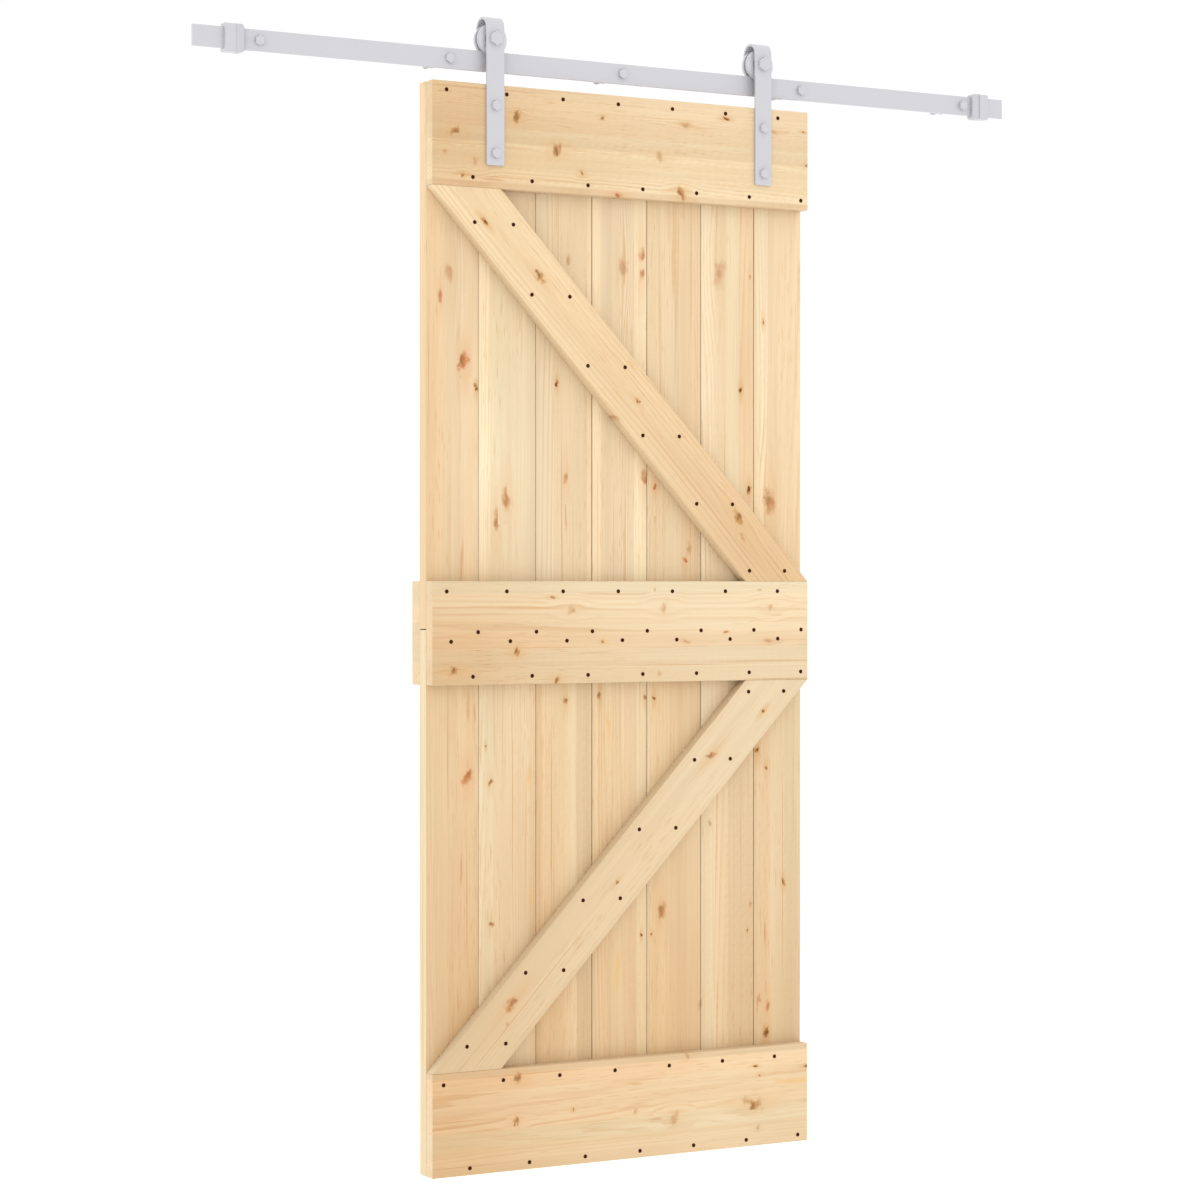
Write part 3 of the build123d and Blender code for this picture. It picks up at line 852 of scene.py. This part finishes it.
def settle(name, mesh, smooth_angle=35):
    """Mesh data from a finished build, shaded smooth between its sharp edges."""
    bmesh.ops.remove_doubles(mesh, verts=mesh.verts, dist=1e-7)
    bmesh.ops.recalc_face_normals(mesh, faces=mesh.faces)
    data = bpy.data.meshes.new(name)
    mesh.to_mesh(data)
    mesh.free()
    data.shade_smooth()
    data.set_sharp_from_angle(angle=math.radians(smooth_angle))
    return data


def place(name, data, material, slot, body, *nodes):
    """A finished piece that stands for CAD nodes and moves with a body."""
    obj = bpy.data.objects.new(name, data)
    bpy.context.scene.collection.objects.link(obj)
    data.materials.append(material)
    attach(obj, body)
    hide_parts(*nodes)
    return obj


def split_edges(points, step):
    """A closed outline with its long edges divided."""
    result = []
    for here, there in zip(points, points[1:] + points[:1]):
        length = math.dist(here, there)
        parts = max(1, round(length / step))
        for part in range(parts):
            share = part / parts
            result.append((here[0] + (there[0] - here[0]) * share, here[1] + (there[1] - here[1]) * share))
    return result


def eased_rectangle(width, thickness, ease, steps=3):
    """Outline of a rectangle about the middle, with round corners."""
    points = []
    for quarter, (side, face) in enumerate(((1, 1), (-1, 1), (-1, -1), (1, -1))):
        for step in range(steps + 1):
            turn = math.pi / 2 * (quarter + step / steps)
            points.append((
                side * (width / 2 - ease) + ease * math.cos(turn),
                face * (thickness / 2 - ease) + ease * math.sin(turn),
            ))
    return points


def end_steps(length, ease, step):
    """Places along a board, each with how far its outline is drawn in there, so that its ends are eased."""
    middle = max(1, round((length - 2 * ease) / step))
    places = [(0.0, ease), (0.3 * ease, 0.3 * ease)]
    places += [(ease + (length - 2 * ease) * k / middle, 0.0) for k in range(middle + 1)]
    places += [(length - 0.3 * ease, 0.3 * ease), (length, ease)]
    return places


class Timber:
    """One board: where it starts, which way its grain runs, and the knots on it."""

    def __init__(self, origin, along, across, length, width, thickness, skew=0.0):
        self.origin = origin
        self.along = along
        self.across = across
        self.length = length
        self.width = width
        self.thickness = thickness
        self.skew = skew

    def point(self, u, v, w):
        """A place on the board: along it, across it and through it."""
        return self.origin + self.along * (u + self.skew * v) + self.across * v + INWARD * w

    def rings(self, outline, ease, step):
        """The outline at steps along the board, drawn in where the ends are eased."""
        result = []
        for u, inset in end_steps(self.length, ease, step):
            half, deep = self.width / 2 - inset, self.thickness / 2 - inset
            ring = [(limit(v, half), limit(w, deep)) for v, w in outline] if inset else outline
            result.append([self.point(u, v, w) for v, w in ring])
        return result

    def grain_at(self, spot):
        """Where a spot lies in the grain: along it, across it and through it."""
        offset = spot - self.origin
        return Vector((offset.dot(self.along), offset.dot(self.across), offset.dot(INWARD)))

    def knots_on(self, knots):
        """The listed knots that lie on this board, each with a radius of its own as a seed."""
        spots = []
        listed = [(kind, *spot) for kind, group in knots.items() for spot in group]
        for number, (kind, x, z, size) in enumerate(listed):
            radius = (size + 0.4 * (number * 0.618 % 1)) * MM
            spot = self.grain_at(Vector((x * MM, 0, z * MM)))
            if abs(spot.y) < self.width / 2 + radius and 0 < spot.x < self.length:
                spots.append(Knot(spot.x, spot.y, radius, KINDS[kind]))
        return spots

    def build(self, name, outline, figure, ease=0.0):
        """Mesh with the marks that the wood's shader reads."""
        mesh = bmesh.new()
        sweep(mesh, self.rings(outline, ease, BOARD_STEP))
        data = settle(name, mesh)
        self.mark(data, figure)
        return data

    def mark(self, data, figure):
        """Store each point's place in the grain, the board's figure, and the nearest knot of each face."""
        spots = self.knots_on(figure.knots) or [FAR_KNOT]
        grain = [self.grain_at(vertex.co) for vertex in data.vertices]
        nearest, kinds, tones_and_shades = [], [], []
        for face in data.polygons:
            middle = sum((grain[k] for k in face.vertices), Vector()) / len(face.vertices)
            knot = min(spots, key=lambda spot: spread(spot, middle))
            on_face = abs(face.normal.dot(INWARD)) > 0.5
            for k in face.vertices:
                u, v, _ = grain[k]
                nearest += ((u - knot.along) / knot.kind.stretch, v - knot.across, knot.radius)
                kinds += knot.kind[:3]
                # Faces take their cells of tone and painted shade; sides and ends take the painted light
                # that makes them paler
                rows = [between(row, u / self.length) for row in figure.tone]
                tones_and_shades.append(between(rows, v / self.width + 0.5) if on_face else SIDE_PAINTED_LIGHT)
        count = len(grain)
        for name, kind, domain, field, values in (
            (GRAIN, VECTOR, "POINT", "vector", [part for spot in grain for part in spot]),
            (BOARD, "FLOAT", "POINT", "value", [float(figure.seed)] * count),
            (SEAM, VECTOR, "POINT", "vector", [*figure.seams, figure.strip] * count),
            (SHADE, VECTOR, "POINT", "vector", [*figure.shades, 0.0] * count),
            (TONE_AND_SHADE, "FLOAT", "CORNER", "value", tones_and_shades),
            (KNOT, VECTOR, "CORNER", "vector", nearest),
            (KIND, VECTOR, "CORNER", "vector", kinds),
        ):
            data.attributes.new(name, kind, domain).data.foreach_set(field, values)


def limit(value, most):
    """A value kept from going further from zero than most."""
    return max(-most, min(most, value))


def between(values, share):
    """The value at a share of the way along a row of cells, going straight from middle to middle."""
    place = min(max(share * len(values) - 0.5, 0.0), len(values) - 1.0)
    first = int(place)
    last = min(first + 1, len(values) - 1)
    return values[first] + (values[last] - values[first]) * (place - first)


def spread(knot, spot):
    """How far a spot of the grain is from a knot, in its radii."""
    reach = 2.5 * knot.kind.stretch
    return math.hypot((spot.x - knot.along) / reach, spot.y - knot.across) / knot.radius


def level_timber(node):
    """Timber for a board that runs along X."""
    low, high = box_of(node)
    middle = (low + high) / 2
    origin = Vector((low.x, middle.y, middle.z))
    return Timber(origin, RIGHT, UP, high.x - low.x, high.z - low.z, high.y - low.y)


def brace_timber(node):
    """Timber for a sloping board with level ends."""
    low, high = box_of(node)
    top = [v.co.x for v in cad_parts[node].data.vertices if v.co.z > high.z - MM]
    bottom = [v.co.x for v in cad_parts[node].data.vertices if v.co.z < low.z + MM]
    middle_y = (low.y + high.y) / 2
    start = Vector(((min(top) + max(top)) / 2, middle_y, high.z))
    end = Vector(((min(bottom) + max(bottom)) / 2, middle_y, low.z))
    along = (end - start).normalized()
    across = INWARD.cross(along)
    width = (max(top) - min(top)) * abs(across.x)
    return Timber(start, along, across, (end - start).length, width, high.y - low.y, -across.z / along.z)


def plank_outline(width, thickness, grooved, tongued):
    """Outline of a plank, with a groove in its left side and a tongue on its right where it has them."""
    outline = eased_rectangle(width, thickness, PLANK_EASE, 2)
    left, right = -width / 2, width / 2
    if grooved:
        middle = len(outline) // 2
        outline[middle:middle] = [
            (left, HALF_GROOVE), (left + GROOVE, HALF_GROOVE),
            (left + GROOVE, -HALF_GROOVE), (left, -HALF_GROOVE),
        ]
    if tongued:
        outline += [
            (right, -HALF_TONGUE), (right + TONGUE, -HALF_TONGUE),
            (right + TONGUE, HALF_TONGUE), (right, HALF_TONGUE),
        ]
    return split_edges(outline, BOARD_STEP)


class PLANKDOOR_OT_planks(bpy.types.Operator):
    """Build the upright tongue-and-groove planks"""

    bl_idname = "plank_door.planks"
    bl_label = "Planks"

    def execute(self, context):
        looks = context.scene.plank_door_pine
        wood = kept("pine", pine, looks)
        count = sum(name.startswith("upper_plank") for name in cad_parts)
        seed = 1
        for half in ("upper", "lower"):
            for number, tone in zip(range(1, count + 1), PLANK_TONES_AND_SHADE[half]):
                node = f"{half}_plank_{number}"
                grooved, tongued = number > 1, number < count
                low, high = box_of(node)
                right = high.x - TONGUE if tongued else high.x
                width = right - low.x
                thickness = high.y - low.y
                origin = Vector(((low.x + right) / 2, (low.y + high.y) / 2, low.z))
                seams = (-width / 2 if grooved else -NO_SEAM, width / 2 if tongued else NO_SEAM)
                shades = (
                    looks.seam_shades[number - 2] if grooved else 1.0,
                    looks.seam_shades[number - 1] if tongued else 1.0,
                )
                timber = Timber(origin, UP, RIGHT, high.z - low.z, width, thickness)
                outline = plank_outline(width, thickness, grooved, tongued)
                figure = Figure(seed, tone, PLANK_KNOTS, looks.strip_width, seams, shades)
                data = timber.build(f"{node}_pine", outline, figure)
                place(f"{node}_pine", data, wood, "pine_planks", "door", node)
                seed += 1
        return {"FINISHED"}


class PLANKDOOR_OT_boards(bpy.types.Operator):
    """Build the rails, the rear batten and the braces"""

    bl_idname = "plank_door.boards"
    bl_label = "Rails and braces"

    def execute(self, context):
        looks = context.scene.plank_door_pine
        wood = kept("pine", pine, looks)
        boards = (
            ("top_rail", level_timber, FRONT_KNOTS, looks.strip_width),
            ("middle_rail", level_timber, FRONT_KNOTS, looks.strip_width),
            ("bottom_rail", level_timber, FRONT_KNOTS, looks.strip_width),
            ("upper_brace", brace_timber, FRONT_KNOTS, ONE_STRIP),
            ("middle_batten", level_timber, BACK_KNOTS, looks.strip_width),
            ("lower_brace", brace_timber, FRONT_KNOTS, ONE_STRIP),
        )
        for seed, (node, timber_of, knots, strip) in enumerate(boards, FIRST_BOARD_SEED):
            timber = timber_of(node)
            outline = eased_rectangle(timber.width, timber.thickness, looks.edge_ease)
            figure = Figure(seed, BOARD_TONES_AND_SHADE[node], knots, strip)
            data = timber.build(f"{node}_pine", split_edges(outline, BOARD_STEP), figure, looks.edge_ease)
            place(f"{node}_pine", data, wood, "pine_rails", "door", node)
        return {"FINISHED"}


class PLANKDOOR_OT_wood_screws(bpy.types.Operator):
    """Build the dark countersunk screws"""

    bl_idname = "plank_door.wood_screws"
    bl_label = "Wood screws"

    def execute(self, context):
        looks = context.scene.plank_door_screws
        finish = kept("dark_phosphate", coated, tuple(looks.colour), 0.8, 0.0, 700.0, 0.05 * MM, 0.05)
        head = 4 * MM
        shank = 2.2 * MM
        rim = 0.15 * MM
        point = 6 * MM
        segments = 24
        star = lambda turn: looks.recess_radius * (1 + 0.17 * math.cos(6 * turn))
        for board in ("top_rail", "middle_rail", "bottom_rail", "upper_brace", "lower_brace"):
            node = f"{board}_screws"
            low, high = box_of(node)
            wood_face = box_of(board)[0].y
            mesh = bmesh.new()
            layers = (
                (lambda turn: 0.4 * star(turn), steady(low.y + looks.recess_depth)),
                (star, steady(low.y + looks.recess_depth)),
                (star, steady(low.y)),
                (steady(head - rim), steady(low.y)),
                (steady(head), steady(low.y + rim)),
                (steady(head), steady(wood_face)),
                (steady(shank), steady(wood_face + head - shank)),
                (steady(shank), steady(high.y - point)),
                (steady(0.2 * shank), steady(high.y)),
            )
            for x, z in places_of(node, SCREW_REACH):
                wavy(mesh, layers, x, z, segments)
            place(f"{node}_dark", settle(node, mesh), finish, "dark_screws", "door", node)
        return {"FINISHED"}


class PLANKDOOR_OT_track(bpy.types.Operator):
    """Build the flat rail and the spacers behind it"""

    bl_idname = "plank_door.track"
    bl_label = "Rail and spacers"

    def execute(self, context):
        looks = context.scene.plank_door_steel
        coat = powder_coat(context)
        bar = level_timber("rail")
        ease = looks.edge_ease
        outline = eased_rectangle(bar.width, bar.thickness, ease)
        mesh = bmesh.new()
        sweep(mesh, bar.rings(outline, ease, bar.length))
        place("rail_bar", settle("rail_bar", mesh), coat, "coated_steel", "track", "rail")

        low, high = box_of("wall_spacers")
        outer = (high.z - low.z) / 2
        bore = 5.25 * MM
        mesh = bmesh.new()
        for x, z in places_of("wall_spacers"):
            lathe(mesh, rounded_ring(bore, outer, low.y, high.y, ease), x, z)
        data = settle("wall_spacers", mesh)
        place("wall_spacer_tubes", data, coat, "coated_steel", "track", "wall_spacers")
        return {"FINISHED"}


class PLANKDOOR_OT_wall_bolts(bpy.types.Operator):
    """Build the hex bolts that hold the rail to the wall"""

    bl_idname = "plank_door.wall_bolts"
    bl_label = "Wall bolts"

    def execute(self, context):
        looks = context.scene.plank_door_steel
        low, high = box_of("wall_bolts")
        seat = box_of("rail")[0].y
        across = high.z - low.z
        shank = 4.5 * MM
        thread = 5 * MM
        thread_depth = 1.1 * MM
        point = 10 * MM
        mesh = bmesh.new()
        for x, z in places_of("wall_bolts"):
            hex_block(mesh, across, seat, low.y, x, z)
            lathe(mesh, [(0, seat), (shank, seat), (shank, 0), (0, 0)], x, z, SHANK_SEGMENTS)
            threaded(mesh, thread, thread_depth, looks.wall_thread_pitch, 0, high.y, x, z, point)
        data = settle("wall_bolts", mesh)
        place("wall_bolts_hex", data, powder_coat(context), "coated_bolts", "track", "wall_bolts")
        return {"FINISHED"}


class PLANKDOOR_OT_stops(bpy.types.Operator):
    """Dress the end stops: collars, bumpers and set screws"""

    bl_idname = "plank_door.stops"
    bl_label = "End stops"

    def execute(self, context):
        looks = context.scene.plank_door_steel
        coat = powder_coat(context)
        rubber = kept("moulded_rubber", coated, tuple(looks.rubber), 0.62, 0.0, 1100.0)
        for side in SIDES:
            for node, material in ((f"{side}_stop_collar", coat), (f"{side}_stop_bumper", rubber)):
                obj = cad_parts[node]
                obj.data.materials.clear()
                obj.data.materials.append(material)
                weld = obj.modifiers.new("weld", "WELD")
                weld.merge_threshold = 0.002 * MM
                flat = obj.modifiers.new("flat", "DECIMATE")
                flat.decimate_type = "DISSOLVE"
                flat.angle_limit = math.radians(1)
                ease = obj.modifiers.new("ease", "BEVEL")
                ease.width = looks.edge_ease
                ease.segments = 3
                ease.limit_method = "ANGLE"
                ease.angle_limit = math.radians(40)
                ease.harden_normals = True
        low, high = box_of("stop_screws")
        radius = 3 * MM
        socket = hex_radius(3 * MM)
        socket_depth = 3 * MM
        ease = 0.4 * MM
        middle = 0.3 * MM
        segments = 36
        mesh = bmesh.new()
        layers = (
            (steady(0.3 * radius), steady(low.y)),
            (steady(radius), steady(low.y)),
            (steady(radius), steady(high.y - ease)),
            (steady(radius - ease), steady(high.y)),
            (socket, steady(high.y)),
            (socket, steady(high.y - socket_depth)),
            (steady(middle), steady(high.y - socket_depth)),
        )
        for x, z in places_of("stop_screws", SCREW_REACH):
            wavy(mesh, layers, x, z, segments)
        data = settle("stop_screws", mesh)
        place("stop_set_screws", data, plating(context), "plated_steel", "track", "stop_screws")
        return {"FINISHED"}


def rounded_end(half_width, corner, steps):
    """Distances from the end of a strip with round corners, each with the strip's half width there."""
    runs = [corner * (1 - math.cos(math.pi / 2 * k / steps)) for k in range(steps + 1)]
    return [(run, half_width - corner + math.sqrt(corner**2 - (corner - run) ** 2)) for run in runs]


class PLANKDOOR_OT_straps(bpy.types.Operator):
    """Build the strips that are bent over the wheels"""

    bl_idname = "plank_door.straps"
    bl_label = "Strap hangers"

    def execute(self, context):
        looks = context.scene.plank_door_steel
        coat = powder_coat(context)
        thickness = 5 * MM
        front_corner = 3 * MM
        front_steps = 5
        rear_corner = 14 * MM
        rear_steps = 12
        turns = 40
        for side in SIDES:
            node = f"{side}_strap"
            low, high = box_of(node)
            middle = (low.x + high.x) / 2
            half_width = (high.x - low.x) / 2
            bend = (high.y - low.y - thickness) / 2
            bend_y = (low.y + high.y) / 2
            bend_z = high.z - bend - thickness / 2
            rear_end = min(v.co.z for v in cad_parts[node].data.vertices if v.co.y > bend_y)
            path = []
            for run, half in rounded_end(half_width, front_corner, front_steps):
                path.append((Vector((middle, bend_y - bend, low.z + run)), -INWARD, half))
            path.append((Vector((middle, bend_y - bend, (low.z + bend_z) / 2)), -INWARD, half_width))
            for k in range(turns + 1):
                turn = math.pi * k / turns
                out = Vector((0, -math.cos(turn), math.sin(turn)))
                path.append((Vector((middle, bend_y, bend_z)) + out * bend, out, half_width))
            for run, half in reversed(rounded_end(half_width, rear_corner, rear_steps)):
                path.append((Vector((middle, bend_y + bend, rear_end + run)), INWARD, half))
            mesh = bmesh.new()
            rings = []
            for centre, out, half in path:
                outline = eased_rectangle(2 * half, thickness, looks.edge_ease)
                rings.append([centre + RIGHT * v + out * w for v, w in outline])
            sweep(mesh, rings)
            place(f"{side}_strap_strip", settle(node, mesh), coat, "coated_steel", "door", node)
        return {"FINISHED"}


def bolt_set(context, node, seat_node, across, radius, pitch):
    """Hex bolts with chamfered heads, and threads where their ends stand out."""
    low, high = box_of(node)
    seat = box_of(seat_node)[0].y
    thread_length = 14 * MM
    thread_depth = 0.6 * MM
    start = high.y - thread_length
    mesh = bmesh.new()
    for x, z in places_of(node):
        hex_block(mesh, across, seat, low.y, x, z)
        lathe(mesh, [(0, seat), (radius, seat), (radius, start), (0, start)], x, z, SHANK_SEGMENTS)
        threaded(mesh, radius, thread_depth, pitch, start, high.y, x, z)
    data = settle(node, mesh)
    place(f"{node}_hex", data, powder_coat(context), "coated_bolts", "door", node)


def nut_set(context, node, across):
    """Hex nuts with a round flange."""
    low, high = box_of(node)
    flange = 2 * MM
    lip = 2.5 * MM
    ease = 0.4 * MM
    rim = 0.8 * MM
    flange_segments = 60
    outer = across / 2 + lip
    profile = [
        (0, low.y), (outer - ease, low.y), (outer, low.y + ease),
        (outer, low.y + rim), (across / 2, low.y + flange), (0, low.y + flange),
    ]
    mesh = bmesh.new()
    for x, z in places_of(node):
        lathe(mesh, profile, x, z, flange_segments)
        hex_block(mesh, across, low.y + flange, high.y, x, z)
    place(f"{node}_flanged", settle(node, mesh), plating(context), "plated_steel", "door", node)


class PLANKDOOR_OT_strap_fasteners(bpy.types.Operator):
    """Build the bolts through the straps, and their nuts"""

    bl_idname = "plank_door.strap_fasteners"
    bl_label = "Strap bolts and nuts"

    def execute(self, context):
        looks = context.scene.plank_door_steel
        across = 17 * MM
        radius = 5 * MM
        bolt_set(context, "strap_bolts", "left_strap", across, radius, looks.thread_pitch)
        nut_set(context, "strap_nuts", across)
        return {"FINISHED"}


class PLANKDOOR_OT_axles(bpy.types.Operator):
    """Build the axle bolts, their nuts and the sleeves between the straps' legs"""

    bl_idname = "plank_door.axles"
    bl_label = "Axles"

    def execute(self, context):
        looks = context.scene.plank_door_steel
        head = 24 * MM
        radius = 6 * MM
        nut = 19 * MM
        bore = 6.05 * MM
        sleeve = 8.55 * MM
        race = 9.05 * MM
        ease = 0.4 * MM
        bolt_set(context, "axle_bolts", "left_strap", head, radius, looks.thread_pitch)
        nut_set(context, "axle_nuts", nut)
        sleeve_low, sleeve_high = box_of("axle_sleeves")
        ring_low, ring_high = box_of("bearing_inner_rings")
        sleeves = ((sleeve_low.y, ring_low.y), (ring_high.y, sleeve_high.y))
        rings = ((ring_low.y, ring_high.y),)
        for node, spans, outer in (("axle_sleeves", sleeves, sleeve), ("bearing_inner_rings", rings, race)):
            mesh = bmesh.new()
            for x, z in places_of(node):
                for front, back in spans:
                    lathe(mesh, rounded_ring(bore, outer, front, back, ease), x, z)
            place(f"{node}_turned", settle(node, mesh), plating(context), "plated_steel", "door", node)
        return {"FINISHED"}


def rounded_ring(bore, outer, front, back, ease):
    """Profile of a ring with its outer corners turned off."""
    return [
        (bore, front), (outer - ease, front), (outer, front + ease),
        (outer, back - ease), (outer - ease, back), (bore, back),
    ]


class PLANKDOOR_OT_wheels(bpy.types.Operator):
    """Build the grooved wheels and the bearings' outer rings"""

    bl_idname = "plank_door.wheels"
    bl_label = "Wheels"

    def execute(self, context):
        looks = context.scene.plank_door_steel
        rim_shade = 0.97
        # Painted light: the wheels' flat sides take a paler copy of the coat, to offset the shade between
        # the strap's legs
        face_painted_light = 1.22
        rim_coat = tuple(part * rim_shade for part in looks.coat)
        face_coat_painted_light = tuple(part * face_painted_light for part in looks.coat)
        rim_finish = kept("turned_coat", coated, rim_coat, looks.coat_roughness)
        face_finish_painted_light = kept("wheel_face_painted_light", coated, face_coat_painted_light, looks.coat_roughness)
        shield_with_painted_light = kept("bearing_shield_painted_light", coated, tuple(looks.shield_with_painted_light), looks.coat_roughness)
        groove_radius = 22 * MM
        groove = 3.5 * MM
        bore = 16.05 * MM
        ease = 1.5 * MM
        lip = 0.5 * MM
        wheel_segments = 96
        race = 9.1 * MM
        ring_ease = 0.3 * MM
        ring_segments = 72
        for side in SIDES:
            node = f"{side}_wheel"
            low, high = box_of(node)
            x, z = (low.x + high.x) / 2, (low.z + high.z) / 2
            middle = (low.y + high.y) / 2
            half = (high.y - low.y) / 2
            flange = (high.z - low.z) / 2
            corner = [
                (half - ease + ease * math.cos(turn), flange - ease + ease * math.sin(turn))
                for turn in (math.radians(90 - 18 * k) for k in range(6))
            ]
            back_half = [(groove, groove_radius), (groove, flange - lip), (groove + lip, flange)]
            back_half += corner + [(half, bore + lip), (half - lip, bore)]
            profile = [(radius, middle + across) for across, radius in back_half]
            profile += [(radius, middle - across) for across, radius in reversed(back_half)]
            mesh = bmesh.new()
            lathe(mesh, profile, x, z, wheel_segments)
            data = settle(node, mesh)
            place(f"{node}_turned", data, rim_finish, "wheel_coat", node, node)
            # The flat sides take the paler copy of the coat as painted light; the rim keeps the plain coat
            data.materials.append(face_finish_painted_light)
            for face in data.polygons:
                outside = abs(face.center.y - middle) > half - lip
                face.material_index = int(outside and abs(face.normal.y) > 0.99)
            # The outer rings take the pale shield colour: partly their own paint, partly painted light
            # against the shade inside the strap
            ring = f"{side}_bearing_outer_ring"
            ring_low, ring_high = box_of(ring)
            outer = (ring_high.z - ring_low.z) / 2
            mesh = bmesh.new()
            lathe(mesh, rounded_ring(race, outer, ring_low.y, ring_high.y, ring_ease), x, z, ring_segments)
            place(f"{ring}_ground", settle(ring, mesh), shield_with_painted_light, "plated_steel", node, ring)
        return {"FINISHED"}


class PLANKDOOR_OT_stage(bpy.types.Operator):
    """Set the floor, the light and the camera of the photo"""

    bl_idname = "plank_door.stage"
    bl_label = "Stage"

    def execute(self, context):
        looks = context.scene.plank_door_stage
        scene = context.scene
        scene.view_settings.view_transform = "Standard"
        level = CAD_LOW[2] - looks.floor_gap
        paint = floor_paint("floor_paint", tuple(looks.floor_colour), looks.floor_radius, looks.floor_glow)
        mesh = bmesh.new()
        bmesh.ops.create_circle(mesh, cap_ends=True, segments=96, radius=looks.floor_radius)
        data = bpy.data.meshes.new("floor")
        mesh.to_mesh(data)
        mesh.free()
        floor = bpy.data.objects.new("floor", data)
        floor.location = (0, 0, level)
        floor.visible_diffuse = False
        floor.visible_glossy = False
        scene.collection.objects.link(floor)
        data.materials.append(paint)

        world = bpy.data.worlds.new("surround")
        world.use_nodes = True
        nodes, links = world.node_tree.nodes, world.node_tree.links
        nodes.clear()
        backdrop = nodes.new("ShaderNodeMixShader")
        seen = nodes.new("ShaderNodeLightPath").outputs["Is Camera Ray"]
        links.new(seen, backdrop.inputs[0])
        for slot, strength in ((1, looks.sky_light), (2, looks.sky_shown)):
            sky = nodes.new("ShaderNodeBackground")
            sky.inputs["Color"].default_value = (1, 1, 1, 1)
            sky.inputs["Strength"].default_value = strength
            links.new(sky.outputs[0], backdrop.inputs[slot])
        links.new(backdrop.outputs[0], nodes.new("ShaderNodeOutputWorld").inputs["Surface"])
        scene.world = world

        lens = bpy.data.cameras.new("camera")
        lens.lens = looks.lens
        lens.sensor_width = 36
        lens.clip_end = 200
        camera = bpy.data.objects.new("camera", lens)
        camera.location = looks.camera_place
        camera.rotation_euler = looks.camera_turn
        scene.collection.objects.link(camera)
        scene.camera = camera
        return {"FINISHED"}


class PLANKDOOR_PT_panel(bpy.types.Panel):
    """Buttons and settings for the door"""

    bl_idname = "PLANKDOOR_PT_panel"
    bl_label = "Plank door"
    bl_space_type = "VIEW_3D"
    bl_region_type = "UI"
    bl_category = "Plank door"

    def draw(self, context):
        for operator in OPERATORS:
            self.layout.operator(operator.bl_idname)
        for name in SETTINGS:
            group = getattr(context.scene, name)
            column = self.layout.column()
            for key in group.__annotations__:
                column.prop(group, key)


SETTINGS = {
    "plank_door_pine": PineSettings,
    "plank_door_steel": SteelSettings,
    "plank_door_screws": ScrewSettings,
    "plank_door_stage": StageSettings,
}
OPERATORS = (
    PLANKDOOR_OT_planks,
    PLANKDOOR_OT_boards,
    PLANKDOOR_OT_wood_screws,
    PLANKDOOR_OT_track,
    PLANKDOOR_OT_wall_bolts,
    PLANKDOOR_OT_stops,
    PLANKDOOR_OT_straps,
    PLANKDOOR_OT_strap_fasteners,
    PLANKDOOR_OT_axles,
    PLANKDOOR_OT_wheels,
    PLANKDOOR_OT_stage,
)


def register():
    for settings in SETTINGS.values():
        bpy.utils.register_class(settings)
    for name, settings in SETTINGS.items():
        setattr(bpy.types.Scene, name, bpy.props.PointerProperty(type=settings))
    for cls in (*OPERATORS, PLANKDOOR_PT_panel):
        bpy.utils.register_class(cls)


def unregister():
    for cls in reversed((*OPERATORS, PLANKDOOR_PT_panel)):
        bpy.utils.unregister_class(cls)
    for name, settings in SETTINGS.items():
        delattr(bpy.types.Scene, name)
        bpy.utils.unregister_class(settings)


def main():
    register()
    bpy.ops.plank_door.planks()
    bpy.ops.plank_door.boards()
    bpy.ops.plank_door.wood_screws()
    bpy.ops.plank_door.track()
    bpy.ops.plank_door.wall_bolts()
    bpy.ops.plank_door.stops()
    bpy.ops.plank_door.straps()
    bpy.ops.plank_door.strap_fasteners()
    bpy.ops.plank_door.axles()
    bpy.ops.plank_door.wheels()
    bpy.ops.plank_door.stage()


if __name__ == "__main__":
    main()
